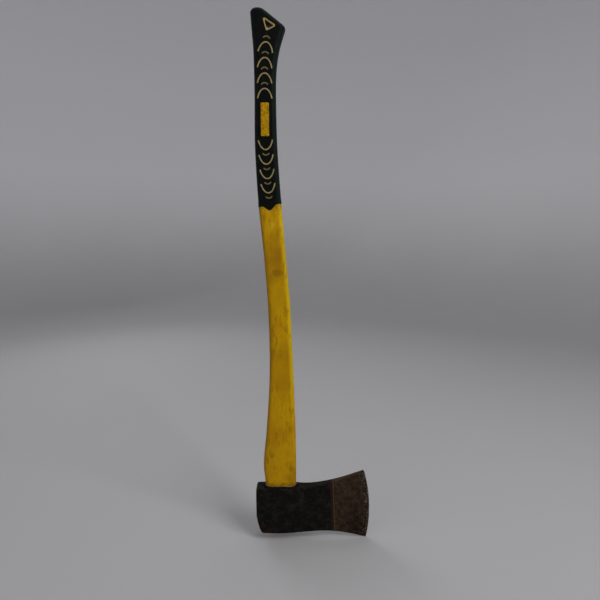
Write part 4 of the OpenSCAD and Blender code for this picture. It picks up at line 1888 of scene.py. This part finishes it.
    def _forge(self, points: np.ndarray, rim: np.ndarray) -> np.ndarray:
        """Adds forging unevenness, a step at the ground line and nicks along the cutting edge.

        Args:
            points: the head's points.
            rim: distance from the outline at each point.

        Returns:
            The changed points, within the first ones' box.
        """
        made = points.copy()
        uneven = 0.16 * grain_noise(points, 13, 1.0) + 0.10 * grain_noise(points, 4.5, 2.0)
        thick = np.abs(points[:, 1])
        inward = np.clip(thick / 4, 0, 1) * (uneven - 0.2)
        leant = points[:, 0] + self.line_lean * (points[:, 2] - self.height / 2)
        past = np.clip((leant - self.line_x) / 1.6, 0, 1)
        inward -= self.line_step * past * np.clip(thick / 3, 0, 1)
        made[:, 1] += np.sign(points[:, 1]) * inward
        from_edge = self.from_edge(points[:, ::2])
        nick = np.clip(grain_noise(points * (0, 0, 1), 5.5, 5.0) - 0.12, 0, 1) * 1.6
        nick += np.clip(grain_noise(points * (0, 0, 1), 1.9, 8.0) - 0.25, 0, 1) * 0.7
        made[:, 0] -= np.where(from_edge < 1.2, nick * (1 - from_edge / 1.2), 0.0)
        corner_wear = np.clip(1.5 - rim, 0, 1.5) / 1.5
        dings = np.clip(grain_noise(points, 6.5, 11.0) - 0.28, 0, 1) * 0.9 * corner_wear
        way = np.array(self.core) - points
        way /= np.linalg.norm(way, axis=1)[:, None]
        blunt = points[:, 0] < self.blunt_to
        made += way * (dings * blunt)[:, None]
        made[:, 2] = np.clip(made[:, 2], self.lowest, self.highest)
        return made

    def _eye_cutter(self) -> bpy.types.Object:
        """The eye's cutter: straight sides that flare at both faces."""
        length, width = EYE_SIZE
        levels = list(self.eye_flare) + [(self.height - z, wider) for z, wider in self.eye_flare[::-1]]
        rings = [racetrack(length + 2 * wider, width + 2 * wider, z) for z, wider in levels]
        return tube("eye_cutter", rings, True)


def racetrack(length: float, width: float, z: float, steps: int = 22) -> np.ndarray:
    """A closed ring with straight sides and round ends.

    Args:
        length: its length along X.
        width: its width along Y.
        z: its height.
        steps: points in each round end.

    Returns:
        The ring's points, counterclockwise from above.
    """
    turn = np.linspace(-math.pi / 2, math.pi / 2, steps + 1)
    end = np.stack([(length - width) / 2 + width / 2 * np.cos(turn), width / 2 * np.sin(turn)], axis=-1)
    sides = np.linspace(end[-1], -end[0], 9)[1:-1]
    ring = np.concatenate([end, sides, -end, -sides])
    return np.concatenate([ring, np.full((len(ring), 1), z)], axis=1)


@dataclass
class EyeFilling:
    """The resin and the seal between the eye and the handle's tongue.

    Args:
        form: the handle's shape.
        resin_low: height of the resin's face.
        seal_low: height of the seal's foot.
        head_top: height of the head's upper face.
        seal_high: height of the seal's bead.
        bead_count: number of resin beads.
        play: how much the pieces keep clear of the eye and the tongue.
        bead: the seal's section, as (share of the way from eye to tongue, share of the bead's height).
        pool: the resin's face, as (distance from the eye's wall, rise).
    """

    form: HandleForm
    resin_low: float
    seal_low: float
    head_top: float
    seal_high: float
    bead_count: int = 26
    play: float = 0.02
    bead: tuple[Point, ...] = (
        (0.0, -0.2), (0.06, 0.35), (0.2, 0.66), (0.42, 0.86), (0.68, 0.97), (0.88, 1.0),
    )
    pool: tuple[Point, ...] = ((0.7, 0.25), (1.8, 0.5), (3.6, 0.62), (6.0, 0.66), (8.5, 0.68))

    def tongue(self, z: float, gap: float) -> np.ndarray:
        """The tongue's ring at a height, a gap away from it."""
        ring = racetrack(self.form.tongue_width + 2 * gap, self.form.tongue_thickness + 2 * gap, z)
        return ring + (self.form.tongue_x, 0, 0)

    def seal(self) -> bpy.types.Object:
        """The soft seal, pressed in by hand so that its bead is uneven."""
        length, width = EYE_SIZE
        low, top, high = self.seal_low, self.head_top, self.seal_high
        outer, inner = racetrack(length, width, top), self.tongue(top, 0.0)
        rings = [racetrack(length - self.play, width - self.play, z) for z in (low, top - 1)]
        for share, rise in self.bead:
            ring = outer * (1 - share) + inner * share
            lumps = grain_noise(ring, 4.5, 7.0) * 0.22 + grain_noise(ring, 13.0, 2.0) * 0.2
            ring[:, 2] = top + (high - top) * np.clip(rise * (0.8 + lumps), -0.2, 1.0)
            rings.append(ring)
        rings += [self.tongue(top + 1, -0.3), self.tongue(low, self.play)]
        return tube("eye_seal_ring", rings, False)

    def resin(self) -> bpy.types.Object:
        """The poured resin, which also covers the tongue's end."""
        length, width = EYE_SIZE
        low, sunk = self.resin_low, 0.3
        rings = [self.tongue(z, self.play) for z in (self.form.foot, self.seal_low)]
        rings += [racetrack(length - self.play, width - self.play, z) for z in (self.seal_low, low - sunk)]
        for shrink, rise in self.pool:
            ring = racetrack(length - 2 * shrink, width - 2 * shrink, low)
            ring[:, 2] += rise - sunk + 0.22 * grain_noise(ring, 6.0, 3.0)
            rings.append(ring)
        return tube("eye_resin_fill", rings, True)

    def beads(self, finish: Finish) -> bpy.types.Object:
        """Beads of resin left on the seal along the tongue.

        Args:
            finish: what they are made of.

        Returns:
            One mesh with all of them.
        """
        ring = even(self.tongue(self.seal_high - 0.9, 0.25), self.bead_count)
        sizes = {"Size": 0.55 * MM, "Spread": 0.25 * MM, "Seed": 11, "Material": finish.material()}
        mesh = grow("eye_resin_beads", ring, {}, bead_tree(), sizes)
        tidy_mesh(mesh)
        return linked("eye_resin_beads", mesh)

    def build(self) -> list[bpy.types.Object]:
        """Builds and dresses the filling's pieces."""
        resin = CastResin("cast_resin")
        return [
            dress(self.seal(), SoftSeal("soft_seal"), "eye_seal"),
            dress(self.resin(), resin, "eye_resin"),
            dress(self.beads(resin), resin),
        ]


# ---- The studio ----


@dataclass(frozen=True)
class Lamp:
    """A soft rectangular light; lengths in metres."""

    name: str
    place: tuple[float, float, float]
    target: tuple[float, float, float]
    size: float
    power: float
    colour: Colour = (1.0, 1.0, 1.0)

    def build(self) -> None:
        """Adds the light to the scene."""
        data = bpy.data.lights.new(self.name, "AREA")
        data.shape = "SQUARE"
        data.size, data.energy, data.color = self.size, self.power, self.colour
        light = linked(self.name, data)
        light.location = self.place
        way = Vector(self.target) - Vector(self.place)
        light.rotation_euler = way.to_track_quat("-Z", "Y").to_euler()


@dataclass
class Studio:
    """Camera, lights and a round pale backdrop; lengths in metres."""

    floor_z: float
    eye: tuple[float, float, float] = (0.0367, -0.781, 0.571)
    pitch: float = math.radians(9.3)
    lens: float = 27.06
    hub: float = 0.25
    radius: float = 3.2
    wall_height: float = 3.6
    bend: float = 1.2
    world_colour: Colour = (0.93, 0.96, 1.0)
    world_strength: float = 0.26
    lamps: tuple[Lamp, ...] = (
        Lamp("key", (1.25, -1.05, 1.75), (0.0, 0.0, 0.45), 0.9, 25.0, (1.0, 0.985, 0.96)),
        Lamp("fill", (-1.5, -1.3, 0.9), (0.0, 0.0, 0.45), 1.4, 5.0, (0.94, 0.97, 1.0)),
        Lamp("top", (0.1, 0.3, 2.4), (0.0, 0.0, 0.3), 1.2, 7.0),
        Lamp("back", (-1.1, 1.5, 1.3), (0.0, 0.0, 0.45), 1.0, 9.0),
    )

    def camera(self) -> None:
        """Puts the camera in front of the axe, a little above its middle."""
        data = bpy.data.cameras.new("camera")
        data.lens, data.sensor_width = self.lens, 36.0
        data.clip_start, data.clip_end = 0.01, 50.0
        camera = linked("camera", data)
        camera.location = self.eye
        camera.rotation_euler = (math.pi / 2 - self.pitch, 0.0, 0.0)
        bpy.context.scene.camera = camera
        bpy.context.scene.view_settings.view_transform = "Standard"

    def backdrop(self) -> bpy.types.Object:
        """A round floor that bends up into a wall."""
        turn = np.linspace(0, math.pi / 2, 14)
        flat, bend = self.radius - self.bend, self.bend
        section = [(r, 0.0) for r in np.linspace(self.hub, flat, 8)]
        section += [(flat + bend * math.sin(t), bend * (1 - math.cos(t))) for t in turn[1:]]
        section += [(self.radius, h) for h in np.linspace(self.bend, self.wall_height, 6)[1:]]
        around = np.linspace(0, 2 * math.pi, 97)[:-1]
        points = [(0.0, 0.0, self.floor_z)]
        points += [(r * math.cos(a), r * math.sin(a), self.floor_z + h) for r, h in section for a in around]
        n = len(around)
        faces: list[tuple[int, ...]] = [(0, 1 + k, 1 + (k + 1) % n) for k in range(n)]
        for i in range(len(section) - 1):
            for k in range(n):
                a, b = 1 + i * n + k, 1 + i * n + (k + 1) % n
                faces.append((a, a + n, b + n, b))
        mesh = bpy.data.meshes.new("backdrop")
        mesh.from_pydata(points, [], faces)
        mesh.polygons.foreach_set("use_smooth", [True] * len(mesh.polygons))
        mesh.materials.append(Backdrop("backdrop").material())
        wall = linked("backdrop", mesh)
        return wall

    def world(self) -> None:
        """Sets an even, pale surrounding light."""
        world = bpy.data.worlds.new("studio")
        world.use_nodes = True
        sky = world.node_tree.nodes["Background"]
        sky.inputs[0].default_value = (*self.world_colour, 1.0)
        sky.inputs[1].default_value = self.world_strength
        bpy.context.scene.world = world

    def build(self) -> None:
        """Builds the whole studio."""
        self.camera()
        self.backdrop()
        self.world()
        for lamp in self.lamps:
            lamp.build()


# ---- All together ----


def report(piece: bpy.types.Object) -> None:
    """Logs a piece's name, size and number of faces."""
    size = ", ".join(f"{d / MM:.1f}" for d in piece.dimensions)
    LOG.info("%s: %s mm, %d faces", piece.name, size, len(piece.data.polygons))


def main() -> None:
    """Builds the studio and the axe."""
    logging.basicConfig(level=logging.INFO, format="%(name)s %(message)s")
    low, high = node_box("axe_head")
    _, crown = node_box("grip")
    seal_low, seal_high = node_box("eye_seal")
    tongue_low, _ = node_box("handle_jacket")
    resin_low, _ = node_box("eye_resin")
    head_top = float(seal_high[2]) - SEAL_RISE
    Studio(floor_z=float(cad_box[0].z)).build()

    form = HandleForm(crown=float(crown[2]), head_top=head_top, foot=float(tongue_low[2]))
    head = Head(
        poll_x=float(low[0]), height=head_top, reach=float(high[0]), lowest=float(low[2]),
        highest=float(high[2]), thickness=float(high[1] - low[1]),
    )
    filling = EyeFilling(
        form, resin_low=float(resin_low[2]), seal_low=float(seal_low[2]),
        head_top=head_top, seal_high=float(seal_high[2]),
    )
    for piece in [head.build(), *Handle(form).build(), *filling.build()]:
        report(piece)


if __name__ == "__main__":
    main()
